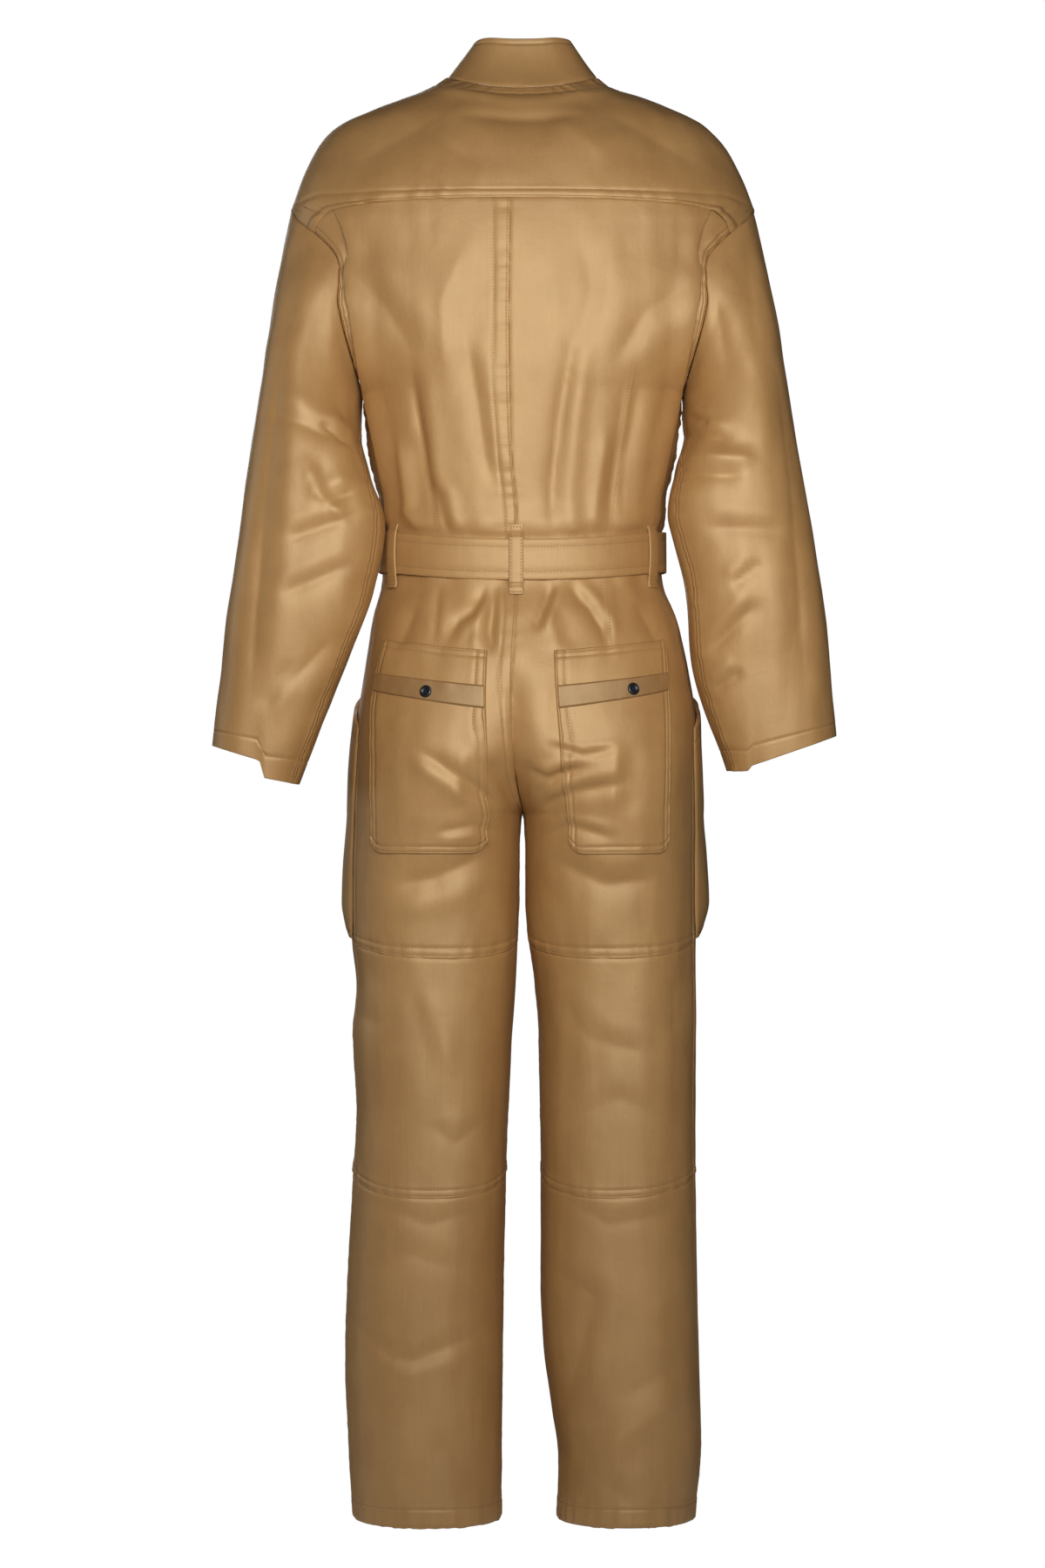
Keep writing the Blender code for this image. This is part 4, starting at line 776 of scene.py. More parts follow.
PLEAT_STANDS = smooth(
    (-0.130, 0.0022), (-0.200, 0.0040), (-0.320, 0.0062), (-0.400, 0.0048), (-0.492, 0.0020)
)
BACK_LENGTH, BACK_MAIN, BACK_UNDERLAP, BACK_WIDTH = 0.372, 0.175, 0.050, 0.231
PLEAT_FOLD_AT, UNDERLAP_FROM = 0.176, 0.181     # how far the fold and what it covers are from the centre
PLEAT_BULGE, PLEAT_HALF_FOLD = 0.0013, 0.0022
RETURN_LIFT, PLEAT_CORNER_LIFT, UNDERLAP_LIFT = -0.0025, -0.0033, -0.0042
FRONT_LENGTH, FRONT_WIDTH = 0.40, 0.24
YOKE_RINGS_WIDTH, YOKE_HALF_LENGTH, YOKE_NECK_LINES = 0.130, 0.30, (0.0015, 0.0090)
TORSO_MIDDLE = (0.0, -0.02)


def pleated(level, main, under):
    """u and lift of the back's columns: out over the action pleat, back under it, and out again."""
    edge, inner = pleat_us(level)
    stands = PLEAT_STANDS(level)
    u = [edge * main]
    lift = [stands * ease((edge * main - inner + 0.10) / (edge - inner + 0.10))]
    for turn in (25.0, 60.0, 90.0, 120.0, 155.0):
        c, s = math.cos(math.radians(turn)), math.sin(math.radians(turn))
        u.append(edge + PLEAT_BULGE * s / U_WIDTH)
        lift.append(stands - PLEAT_HALF_FOLD * (1 - c))
    below = stands - 2 * PLEAT_HALF_FOLD
    for t in (0.05, 0.35, 0.7, 1.0):
        u.append(edge + (inner - edge) * t)
        lift.append(below + (RETURN_LIFT - below) * t)
    under = inner + (1 - inner) * under
    u += [inner - 0.003 + 0 * level, under]
    lift += [PLEAT_CORNER_LIFT, UNDERLAP_LIFT * (1 - ease((under - edge) / (1 - edge)))]
    caught = 0.25 + 0.75 * ease((ARMHOLE_CORNER - level) / 0.030)
    return np.concatenate(u, axis=1), np.concatenate([part + 0 * level for part in lift], axis=1) * caught


def add_back(side_name, side):
    """The back: from its centre seam over the action pleat, back under it, and out to the armhole."""
    rows = graded(BACK_LENGTH)
    level = (ARMHOLE_CORNER + (WAIST_Z - ARMHOLE_CORNER) * rows)[:, None]
    centre_lines = CENTRE_DOUBLE if side == LEFT else ()
    main = graded(BACK_MAIN, first=centre_lines)
    under = graded(BACK_UNDERLAP, last=DOUBLE)
    u, lift = pleated(level, main[None, :], under[None, :])
    z = bodice_z(level, yoke_seam_z(u))
    form = partial(torso, side, BACK)
    normals = form_normals(form, u, z, TORSO_MIDDLE)
    folded = np.full(10, PLEAT_FOLD_AT)
    places = np.concatenate([main * BACK_MAIN, folded, UNDERLAP_FROM + under * BACK_UNDERLAP]) / BACK_WIDTH
    panel(
        f"bodice_back_{side_name}", form(u, z), normals, "torso", (rows, BACK_LENGTH), (places, BACK_WIDTH),
        {"left": centre_lines, "right": DOUBLE}, extra=lift, pinned=(("right", 0.012),),
        seams=("top", "left", "right"),
    )


def relaxed(points, times):
    """The grid with its inner points evened out down its columns."""
    points = points.copy()
    for _ in range(times):
        points[1:-1, 1:-1] = (points[:-2, 1:-1] + 2 * points[1:-1, 1:-1] + points[2:, 1:-1]) / 4
    return points


def add_front(side_name, side):
    """The front: from the neck and the yoke down to the waist, and out to the armhole and the side."""
    rows, columns = graded(FRONT_LENGTH), graded(FRONT_WIDTH, last=DOUBLE)
    level = (ARMHOLE_CORNER + (WAIST_Z - ARMHOLE_CORNER) * rows)[:, None]
    ninth = 9 * columns             # the neck takes four ninths of the top edge, the yoke five
    u_neck, z_neck = neck_place(FRONT, YOKE_FRONT_NECK / 4 * np.minimum(ninth, 4))
    u_yoke, z_yoke = yoke_front(np.clip((ninth - 4) / 5, 0.0, 1.0))
    u_top = np.where(ninth < 4, u_neck, u_yoke)[None, :]
    z_top = np.where(ninth < 4, z_neck, z_yoke)[None, :]
    share = np.where(level > UNDERARM[1], 1 - armhole_turn(level) / YOKE_TURN, 1.0)
    u = u_top + (columns[None, :] - u_top) * ease(share)
    points = relaxed(torso(side, FRONT, u, bodice_z(level, z_top)), 14)
    panel(
        f"bodice_front_{side_name}", points, outward_normals(points), "torso", (rows, FRONT_LENGTH),
        (columns, FRONT_WIDTH), {"right": DOUBLE}, pinned=(("right", 0.012), ("top", 0.006)),
    )


def yoke_grid(side, rings, columns):
    """Half a yoke: column 0 is the centre back, 1 the front seam. Returns its points and their normals."""
    edge, inner = (float(v) for v in pleat_us(np.array(ARMHOLE_CORNER)))
    turns = np.linspace(YOKE_TURN, 180.0, 3)
    armhole_z = [float(armhole(t)[2]) for t in turns]
    seam = np.array([
        0.0, 0.25 * inner, 0.5 * inner, 0.75 * inner, inner, edge, (1 + edge) / 2, 1.0, 1.0, 1.0,
    ])
    place = np.arange(10) / 9
    shoulder = 9 / 11
    back = columns <= shoulder
    at = np.where(back, columns / shoulder, 0.0)
    s = np.where(back, at, 1 - (columns - shoulder) / (1 - shoulder) * (1 - YOKE_FRONT_NECK))
    u_edge = np.where(back, np.interp(at, place, seam), 1.0)
    z_corner = np.interp(at, place[7:], armhole_z)
    z_back = np.where(at < place[7], yoke_seam_z(u_edge), z_corner)
    z_front = np.interp(columns, [shoulder, (1 + shoulder) / 2, 1.0], armhole_z[::-1])
    z_edge = np.where(back, z_back, z_front)
    r = rings[:, None]
    points, normals = [], []
    for face in (BACK, FRONT):
        start, tip = SHOULDER_LINE(NECK_SIDE_Z), SHOULDER_TIP[0]
        level = SHOULDER_HEIGHT(start + (tip - start) * r)
        along_shoulder = (NECK_SIDE_Z - level) / (NECK_SIDE_Z - SHOULDER_TIP[1])
        weight = s**2
        u_neck, z_neck = neck_place(face, s)
        z = z_neck + (z_edge - z_neck) * ((1 - weight) * r + weight * along_shoulder)
        u = u_neck + (u_edge - u_neck) * r
        if face == FRONT:
            toward = np.clip((columns - (1 + shoulder) / 2) / ((1 - shoulder) / 2), 0.0, 1.0)
            u_seam, z_seam = yoke_front(r)
            u = u + (u_seam - u) * toward
            z = z + (z_seam - z) * toward
        form = partial(torso, side, face)
        points.append(form(u, z))
        normals.append(form_normals(form, u, z, (0.0, 0.0)))
    behind = back[None, :, None]
    return np.where(behind, points[0], points[1]), np.where(behind, normals[0], normals[1])


def add_yoke():
    """The yoke over both shoulders: rings from the neck out, columns from one front seam to the other."""
    rings = graded(YOKE_RINGS_WIDTH, first=YOKE_NECK_LINES, last=DOUBLE)
    half = graded(YOKE_HALF_LENGTH, last=DOUBLE)
    columns = np.concatenate([half[:1], half[6:]])      # there is no seam at the centre back
    left, left_normals = yoke_grid(LEFT, rings, columns)
    right, right_normals = yoke_grid(RIGHT, rings, columns)
    points = np.concatenate([left[:, ::-1], right[:, 1:]], axis=1)
    normals = np.concatenate([left_normals[:, ::-1], right_normals[:, 1:]], axis=1)
    places = np.concatenate([0.5 - columns[::-1] / 2, 0.5 + columns[1:] / 2])
    stitched = {"top": YOKE_NECK_LINES, "bottom": DOUBLE, "left": DOUBLE, "right": DOUBLE}
    from_neck = edge_distances(points)["top"]
    roll = 0.0035 * np.exp(-(((from_neck - 0.020) / 0.008) ** 2)) * ease(normals[..., 1] * 1.4)
    panel(
        "yoke", points, normals, "torso", (rings, YOKE_RINGS_WIDTH), (places, 2 * YOKE_HALF_LENGTH), stitched,
        extra=roll, pinned=(("top", 0.006), ("bottom", 0.010)),
    )


COLLAR_TOP_HALF_WIDTH, COLLAR_TOP_BACK, COLLAR_TOP_FRONT = 0.0530, 0.044, 0.072
COLLAR_TOP_Z = smooth((1.0, 0.060), (0.0, 0.0545), (-0.6, 0.010), (-1.0, -0.020))     # 1 is the back
COLLAR_HEIGHT, COLLAR_HALF_LENGTH, COLLAR_LINE = 0.064, 0.21, (0.0065,)
COLLAR_SQUARENESS, COLLAR_BACK_DIP, COLLAR_HOLLOW = 2.7, 0.0045, 0.004
SLEEVE_LENGTH, SLEEVE_ROUND, CUFF_LINE = 0.50, 0.46, (0.0190,)
SLEEVE_SEAM_TURN = 26.0                 # how far round the sleeve its seam turns towards the cuff
# The step in each cuff: its x, and how far the hem rises outside and inside of it.
CUFF_STEPS = {LEFT: (0.2735, 0.0080, -0.0090), RIGHT: (0.2380, -0.0020, -0.0070)}
CUFF_STEP_WIDTH = 0.0030


def collar_side(side, rows, columns):
    """Half of the collar's grid: column 0 is the open front and 1 the centre back."""
    angle = -90 + 180 * columns
    at_face = [torso(side, face, *neck_place(face, 1 - np.abs(angle) / 90)) for face in (BACK, FRONT)]
    base = np.where((angle >= 0)[:, None], *at_face)[None]
    back = cos_sin(angle)[1]
    depth = np.where(angle > 0, COLLAR_TOP_BACK, COLLAR_TOP_FRONT)
    x, y = section(angle, COLLAR_TOP_HALF_WIDTH, depth, depth, COLLAR_SQUARENESS)
    top = np.stack((side * x, y, COLLAR_TOP_Z(back)), axis=-1)
    top[..., 2] -= COLLAR_BACK_DIP * np.maximum(0.0, back) ** 6
    t = (1 - rows)[:, None, None]
    points = base + (top[None] - base) * t
    points[..., 1] -= COLLAR_HOLLOW * np.sin(np.pi * t[..., 0]) * np.maximum(0.0, back)
    return points


def add_collar():
    rows, half = graded(COLLAR_HEIGHT, first=COLLAR_LINE), graded(COLLAR_HALF_LENGTH)
    columns = np.concatenate([half[:1] + 0.0004, half[1:]])
    left, right = (collar_side(side, rows, columns) for side in (LEFT, RIGHT))
    points = np.concatenate([left, right[:, ::-1][:, 1:]], axis=1)
    places = np.concatenate([columns / 2, 1 - columns[::-1][1:] / 2])
    panel(
        "collar", points, outward_normals(points), "collar", (rows, COLLAR_HEIGHT),
        (places, 2 * COLLAR_HALF_LENGTH), {"top": COLLAR_LINE}, turn=("top", 11), seams=("bottom",),
        pinned=(("bottom", 0.008),),
    )


def with_cuff_step(points, side, along):
    """The sleeve with the step in its hem, where the cuff is folded over on itself."""
    step, rise_outside, rise_inside = CUFF_STEPS[side]
    x_in, _, x_out = SLEEVE_RINGS[side][-1][1:4]
    x = np.abs(points[..., 0])
    outside = rise_outside * np.clip((x_out - x) / (x_out - step), 0.0, 1.0)
    inside = rise_inside * np.clip((x - x_in) / (step - x_in), 0.0, 1.0)
    over = ease((x - step + CUFF_STEP_WIDTH) / (2 * CUFF_STEP_WIDTH))
    points[..., 2] += ease((along - 0.80) / 0.18) * (over * outside + (1 - over) * inside)
    return points


def add_sleeve(side_name, side):
    rows, columns = graded(SLEEVE_LENGTH, last=CUFF_LINE), graded(SLEEVE_ROUND, first=DOUBLE)
    seam = SLEEVE_SEAM_TURN * ease(rows / 0.45)
    points = sleeve(side, (360 * columns[None, :] + seam[:, None]) % 360, rows[:, None])
    points = with_cuff_step(points, side, rows[:, None])
    normals = grid_normals(points)
    normals = normals * np.sign((normals * (points - points.mean(axis=1, keepdims=True))).sum())
    panel(
        f"sleeve_{side_name}", points, normals, f"sleeve_{side_name}", (rows, SLEEVE_LENGTH),
        (columns, SLEEVE_ROUND), {"bottom": CUFF_LINE, "left": DOUBLE}, turn=("bottom", 7),
        pinned=(("top", 0.020),), seams=("top", "left", "right"),
    )


# ---------------------------------------------------------------- trousers
LEG_PIECE_WIDTH = 0.24


def centre_normals(normals, points):
    """Normals that stay out of the cleft between the two halves of the seat."""
    off_middle = np.abs(points[..., 0] - middle_x(points))
    near = (1 - ease(off_middle / 0.014)) * (points[..., 2] > CROTCH_Z - 0.004)
    turned_back = normals.copy()
    turned_back[..., 0] *= 1 - near
    return unit(turned_back)


def add_leg_piece(name, side, face, top, bottom, stitched, drops=(0.0, 0.0), fades=1, turn=None):
    """A piece of one leg. The drops are how far its seams dip in the middle, and fades how that dies away."""
    length = top - bottom
    rows = graded(length, first=stitched.get("top", ()), last=stitched.get("bottom", ()))
    columns = graded(LEG_PIECE_WIDTH, first=stitched.get("left", ()), last=stitched.get("right", ()))
    level = (top + (bottom - top) * rows)[:, None]
    t = rows[:, None]
    drop = drops[0] * (1 - t) ** fades + drops[1] * t**fades
    u = columns[None, :]
    z = level + drop * (1 - (2 * u - 1) ** 2)
    points = leg(side, face, u + 0 * z, z)
    normals = grid_normals(points)
    away = points - np.array((side * LEG_MIDDLE_X, 0.0, 0.0))
    normals = normals * np.sign((normals[..., :2] * away[..., :2]).sum())
    panel(
        name, points, centre_normals(normals, points), "leg", (rows, length), (columns, LEG_PIECE_WIDTH),
        stitched, turn=turn, pinned=(("top", 0.004),) if top == WAIST_Z else (),
    )


def add_trousers(side_name, side):
    """One leg: three pieces behind, with seams above and below the knee, and one in front."""
    seat_lines = {"left": CENTRE_DOUBLE} if side == LEFT else {}
    add_leg_piece(f"back_upper_{side_name}", side, BACK, WAIST_Z, KNEE_TOP_Z,
                  {**seat_lines, "right": DOUBLE, "bottom": DOUBLE}, (0.0, KNEE_TOP_DROP), 7)
    add_leg_piece(f"back_knee_{side_name}", side, BACK, KNEE_TOP_Z, KNEE_LOW_Z,
                  {"right": DOUBLE, "bottom": DOUBLE}, (KNEE_TOP_DROP, KNEE_LOW_DROP), 1)
    add_leg_piece(f"back_lower_{side_name}", side, BACK, KNEE_LOW_Z, HEM_Z,
                  {"right": DOUBLE, "bottom": HEM_LINE}, (KNEE_LOW_DROP, 0.0), 2, ("bottom", 7))
    add_leg_piece(f"trouser_front_{side_name}", side, FRONT, WAIST_Z, HEM_Z, {"bottom": HEM_LINE},
                  turn=("bottom", 7))


def on_leg(side, face, u, z):
    """Points of the finished leg's cloth, with its folds, and the form's normals there."""
    form = partial(leg, side, face)
    points = form(u, z)
    normals = form_normals(form, u, z, (side * LEG_MIDDLE_X, 0.0))
    return points + normals * relief(points, normals, "leg")[..., None], normals


def rolled_edges(points, low):
    """1 inside a patch, falling to low where its edges roll down onto the cloth below."""
    distances = edge_distances(points)
    near = np.minimum.reduce([distances[edge] for edge in ALL_EDGES])
    return low + (1 - low) * ease(near / 0.0014)


def laid_panel(name, points, normals, lift, rows, columns, stitched, material_name="sateen"):
    """A patch on the cloth below: its edges roll down onto it."""
    distances = edge_distances(points)
    depth = lift * rolled_edges(points, 0.25)
    for edge, lines in stitched.items():
        d = distances[edge]
        pucker = noise_at(edge_line(points, edge), 90.0, 31.0)
        depth = depth + 0.0006 * (pucker + 0.6) * np.exp(-((d / (max(lines) + 0.006)) ** 2)) * ease(d / 0.002)
    spans = {"rows": rows, "columns": columns}
    depth = sunk(depth, stitched, spans)
    shaped = points + normals * depth[..., None]
    own = cloth_normals(shaped, normals)
    sew(shaped, own, stitched, spans)
    obj = cloth_mesh(f"cloth_{name}", shaped, material_name)
    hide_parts(name)
    return shaped, own


POCKET_EDGES = (0.0020, 0.0080)
POCKET_LENGTH, POCKET_WIDTH, POCKET_CORNER = 0.215, 0.118, 0.017
POCKET_MOUTH_Z, POCKET_MOUTH_RISE, POCKET_FOOT_Z = -0.5940, 0.0135, -0.8060
WELT_HEIGHT, WELT_WIDTH, WELT_LINE = 0.0235, 0.115, (0.0018,)
WELT_Z, WELT_RISE = -0.6300, 0.0145
SNAP_PLACE = {LEFT: 0.44, RIGHT: 0.56}      # across the welt


def seat_patch(side, w, z, inset_in=0.0, inset_out=0.0):
    """Points and normals of a patch on the seat: w 0 is the pocket's inner edge and 1 its outer one."""
    inner = leg_u(side, POCKET_IN_X[side](z) + inset_in, z)
    outer = leg_u(side, POCKET_OUT_X[side](z) - inset_out, z)
    return on_leg(side, BACK, inner + (outer - inner) * w, z)


def add_pocket(side_name, side):
    """The patch on the seat: its mouth slopes, and its lower corners are round."""
    rows = graded(POCKET_LENGTH, first=POCKET_EDGES, last=POCKET_EDGES)
    columns = graded(POCKET_WIDTH, first=POCKET_EDGES, last=POCKET_EDGES)
    w, v = columns[None, :], rows[:, None]
    top = POCKET_MOUTH_Z + POCKET_MOUTH_RISE * w
    from_edge = np.minimum(w, 1 - w) * POCKET_WIDTH
    into_corner = np.maximum(POCKET_CORNER - from_edge, 0.0)
    rounding = POCKET_CORNER - np.sqrt(np.maximum(POCKET_CORNER**2 - into_corner**2, 0.0))
    foot = POCKET_FOOT_Z + rounding
    points, normals = seat_patch(side, w, top + (foot - top) * v)
    laid_panel(f"pocket_{side_name}", points, normals, 0.0026, (rows, POCKET_LENGTH), (columns, POCKET_WIDTH),
               dict.fromkeys(ALL_EDGES, POCKET_EDGES))


def add_welt(side_name, side):
    """The strip across the pocket, and the press stud on it."""
    rows = graded(WELT_HEIGHT, first=WELT_LINE, last=WELT_LINE)
    columns = graded(WELT_WIDTH, first=WELT_LINE, last=WELT_LINE)
    w, v = columns[None, :], rows[:, None]
    z = WELT_Z + WELT_RISE * w - (0.0255 - 0.0050 * w) * v
    points, normals = seat_patch(side, w, z, 0.0010, 0.0008)
    # Its cloth is the darker copy of the sateen: painted shade for the weaker sheen of cloth cut across its
    # grain.
    shaped, own = laid_panel(
        f"pocket_welt_{side_name}", points, normals, 0.0044, (rows, WELT_HEIGHT), (columns, WELT_WIDTH),
        {"top": WELT_LINE, "bottom": WELT_LINE}, "sateen_across_painted_shade",
    )
    row, column = len(rows) // 2, int(np.argmin(np.abs(columns - SNAP_PLACE[side])))
    add_snap(f"snap_{side_name}", shaped[row, column], own[row, column])


def add_snap(name, base, way):
    """A press stud's cap: a low domed button with a sunk middle."""
    profile = (
        (0.00645, -0.0010), (0.0066, 0.0004), (0.0065, 0.0010), (0.0060, 0.0016), (0.0050, 0.0020),
        (0.0042, 0.0020), (0.0036, 0.0016), (0.0033, 0.0012), (0.0016, 0.0012), (0.00001, 0.0014),
    )
    across = unit(np.cross((0.0, 0.0, 1.0), way))
    up = np.cross(way, across)
    angle = np.linspace(0, 2 * np.pi, 33)[None, :, None]
    radius = np.array([p[0] for p in profile])[:, None, None]
    height = np.array([p[1] for p in profile])[:, None, None]
    grid = base + radius * (across * np.cos(angle) + up * np.sin(angle)) + way * height
    obj = cloth_mesh(f"metal_{name}", grid, "plating")
    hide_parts(name)


SIDE_POCKET_BULGE = {LEFT: 0.0150, RIGHT: 0.0195}
SIDE_POCKET_LENGTH, SIDE_POCKET_WIDTH, SIDE_POCKET_FOOT_Z = 0.25, 0.155, -0.8975
SIDE_POCKET_LINE = (0.0180,)
SIDE_POCKET_MOUTH = smooth((1.0, -0.6735), (0.75, -0.6550), (0.5, -0.6395), (0.25, -0.6318), (0.0, -0.6250))
SIDE_POCKET_DROP = smooth((1.0, 0.0), (0.95, 0.55), (0.84, 1.0), (0.45, 0.56), (0.0, 0.22))


def add_side_pocket(side_name, side):
    """The patch pocket on the thigh: its mouth slopes to the side seam, and it sags away from the leg."""
    rows = graded(SIDE_POCKET_LENGTH, first=SIDE_POCKET_LINE, last=POCKET_EDGES)
    columns = graded(SIDE_POCKET_WIDTH, first=POCKET_EDGES)
    over, down = columns[None, :], rows[:, None]
    top = SIDE_POCKET_MOUTH(over)
    z = top + (SIDE_POCKET_FOOT_Z - top) * down
    u = (4.0 + 3.96 * over) / 8 + 0 * z
    points, normals = on_leg(side, FRONT, u, z)
    bulge = SIDE_POCKET_BULGE[side] * np.sin(np.pi * np.clip(over, 0.0, 1.0)) ** 0.8
    laid_panel(
        f"side_pocket_{side_name}", points, normals, 0.0022 + bulge * SIDE_POCKET_DROP(down),
        (rows, SIDE_POCKET_LENGTH), (columns, SIDE_POCKET_WIDTH),
        {"top": SIDE_POCKET_LINE, "bottom": POCKET_EDGES, "left": POCKET_EDGES},
    )


# ---------------------------------------------------------------- placket, belt and loops
PLACKET_HALF_WIDTH, PLACKET_LENGTH, PLACKET_LINE = 0.016, 0.633, (0.0020,)
PLACKET_FOOT_Z = -0.690


def front_y(x, z):
    """y of the front of the body near its centre line."""
    half_width, depth, squareness, _ = torso_section(FRONT, z)
    above = -depth * (1 - (np.abs(x) / half_width) ** squareness) ** (1 / squareness)
    middle, leg_half, leg_square, _, _ = leg_section(LEFT, FRONT, z)
    out = np.abs(np.abs(x) - middle) / leg_half
    below = -LEG_FRONT(z) * (1 - out**leg_square) ** (1 / leg_square)
    return np.where(z >= WAIST_Z, above, below)


def add_placket():
    """The strip down the centre front. It lies flat under the belt."""
    rows = graded(PLACKET_LENGTH)
    columns = graded(2 * PLACKET_HALF_WIDTH, first=PLACKET_LINE, last=PLACKET_LINE)
    top = NECK_FRONT_Z - 0.002
    z = (top + (PLACKET_FOOT_Z - top) * rows)[:, None] + 0 * columns[None, :]
    x = (PLACKET_HALF_WIDTH * (1 - 2 * columns))[None, :] + 0 * z
    points = np.stack((x, front_y(x, z), z), axis=-1)
    normals = outward_normals(points)
    depth = np.where(z >= WAIST_Z, relief(points, normals, "torso"), relief(points, normals, "leg"))
    off_waist = ease((np.abs(z - WAIST_Z) - 0.012) / 0.012)
    points = points + normals * (depth * off_waist)[..., None]
    shaped = points + normals * (0.0022 * rolled_edges(points, 0.2))[..., None]
    spans = {"rows": (rows, PLACKET_LENGTH), "columns": (columns, 2 * PLACKET_HALF_WIDTH)}
    sew(shaped, normals, {"left": PLACKET_LINE, "right": PLACKET_LINE}, spans)
    obj = cloth_mesh("cloth_front_placket", shaped)
    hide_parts("front_placket")


def waist_place(angle, z, off):
    """Points beside the waist, and the way out of it: 90 is the centre back, 0 the left side."""
    half_width, squareness = TORSO_SIDE(WAIST_Z), TORSO_SQUARENESS(WAIST_Z)
    back, front = TORSO_DEPTH[BACK](WAIST_Z), TORSO_DEPTH[FRONT](WAIST_Z)
    (x0, y0), (x, y), (x1, y1) = (
        section(angle + turn, half_width, back, front, squareness) for turn in (-0.5, 0.0, 0.5)
    )
    way = unit(np.stack((y1 - y0, x0 - x1), axis=-1))
    off = np.asarray(off)
    return np.stack(np.broadcast_arrays(x + way[..., 0] * off, y + way[..., 1] * off, z), axis=-1), way


def averaged(values):
    """Values evened out over their neighbours."""
    return np.convolve(np.pad(values, 2, mode="edge"), np.ones(5) / 5, mode="valid")


def angle_at(x):
    """The angle on the front at which the waist is this far to the wearer's left."""
    return -90.0 + math.degrees(math.asin(x / WAIST_FRONT_RADIUS))


WAIST_FRONT_RADIUS = 0.1517
TIP_ANGLE = -62.0
TIP_TAPER, TIP_LENGTH = 0.38, 2.2       # how much narrower the belt's end is, and over how many degrees
BELT_STITCH = 0.0084
# The belt on its way through the buckle: (x to the wearer's left, distance from the waist).
BUCKLED_START = ((0.004, 0.0092), (0.010, 0.0064), (0.018, 0.0046))
BUCKLED_END = (
    (-0.034, 0.0046), (-0.0255, 0.0064), (-0.0190, 0.0078), (-0.0070, 0.0132), (0.0, 0.0137),
    (0.0070, 0.0134), (0.0190, 0.0078), (0.0255, 0.0067),
)


def belt_run():
    """Angle and distance from the waist, all along the strap."""
    over = BELT_STAND_OFF + BELT_THICK + 0.0005
    stations = [(angle_at(x), off) for x, off in BUCKLED_START]
    stations += [(angle, BELT_STAND_OFF) for angle in np.linspace(angle_at(0.030), 246.0, 50)]
    stations += [(angle_at(x) + 360, off) for x, off in BUCKLED_END]
    stations += [(angle + 360, over) for angle in np.linspace(angle_at(0.036), TIP_ANGLE, 3)]
    angles, offs = np.array(stations).T
    fine = np.linspace(angles[0], angles[-1], 460)
    return fine, averaged(np.interp(fine, angles, offs))


def belt_profile(half, stitch):
    """(height, thickness) points round the strap, finer at its edges and beside its stitches."""
    marks = (half - 0.0006, half - 0.0030, stitch + 0.0010, stitch, stitch - 0.0010, 0.005, 0.0)
    profile = [(-half + 0.0004, 0.0), (0.0, 0.0), (half - 0.0004, 0.0), (half, 0.0005), (half, 0.0015)]
    profile += [(h, BELT_THICK) for h in marks] + [(-h, BELT_THICK) for h in marks[-2::-1]]
    return np.array(profile + [(-half, 0.0015), (-half, 0.0005)])


def add_belt():
    """One strap: from the buckle's middle bar round the body and back over the bar to its free end."""
    angle, off = belt_run()
    angle, off = angle[:, None], off[:, None]
    half = BELT_HEIGHT / 2
    stitch = half - BELT_STITCH
    rise, stand = belt_profile(half, stitch).T[:, None, :]
    outer = stand == BELT_THICK
    short = 1 - TIP_TAPER * ease((angle - (TIP_ANGLE + 360 - TIP_LENGTH)) / TIP_LENGTH)
    z = belt_middle(angle) + rise * short
    dent = 0.0004 * (np.abs(np.abs(rise) - stitch) < 0.0002) * outer
    around = np.stack(np.broadcast_arrays(*cos_sin(angle), z), axis=-1)
    bow = 0.0005 * noise_at(around, (9, 9, 25), 41.0)
    points, way = waist_place(angle + 0 * z, z, off + stand - dent + np.where(outer, bow * 0.4, 0.0))
    obj = cloth_mesh("cloth_belt", points, tube=True)
    normals = np.concatenate([way, 0 * way[..., :1]], axis=-1)
    for line in (stitch, -stitch):
        k = int(np.argmax((np.abs(rise[0] - line) < 1e-6) & outer[0]))
        STITCHES.append((points[8:-8, k], normals[8:-8, k]))
    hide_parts("belt")


LOOP_ROWS = 61
LOOP_ACROSS = np.array([
    -1, -0.995, -0.96, -0.86, -0.72, -0.58, -0.3, 0, 0.3, 0.58, 0.72, 0.86, 0.96, 0.995, 1,
])
LOOP_ROLL = (-0.0004, 0.0006, 0.0012, 0.0014, 0.0012, 0.0015, 0.0016, 0.0016)
# Where each belt loop is round the waist, in degrees from the left side: 90 is the centre back.
LOOPS = {
    "belt_loop_back": 88.0, "belt_loop_back_left": 27.0, "belt_loop_back_right": 153.0,
    "belt_loop_front_left": -44.0, "belt_loop_front_right": -136.0,
}


def mirrored_ends(half):
    """A list that runs to its last value and back again."""
    return np.array([*half, *half[-2::-1]])


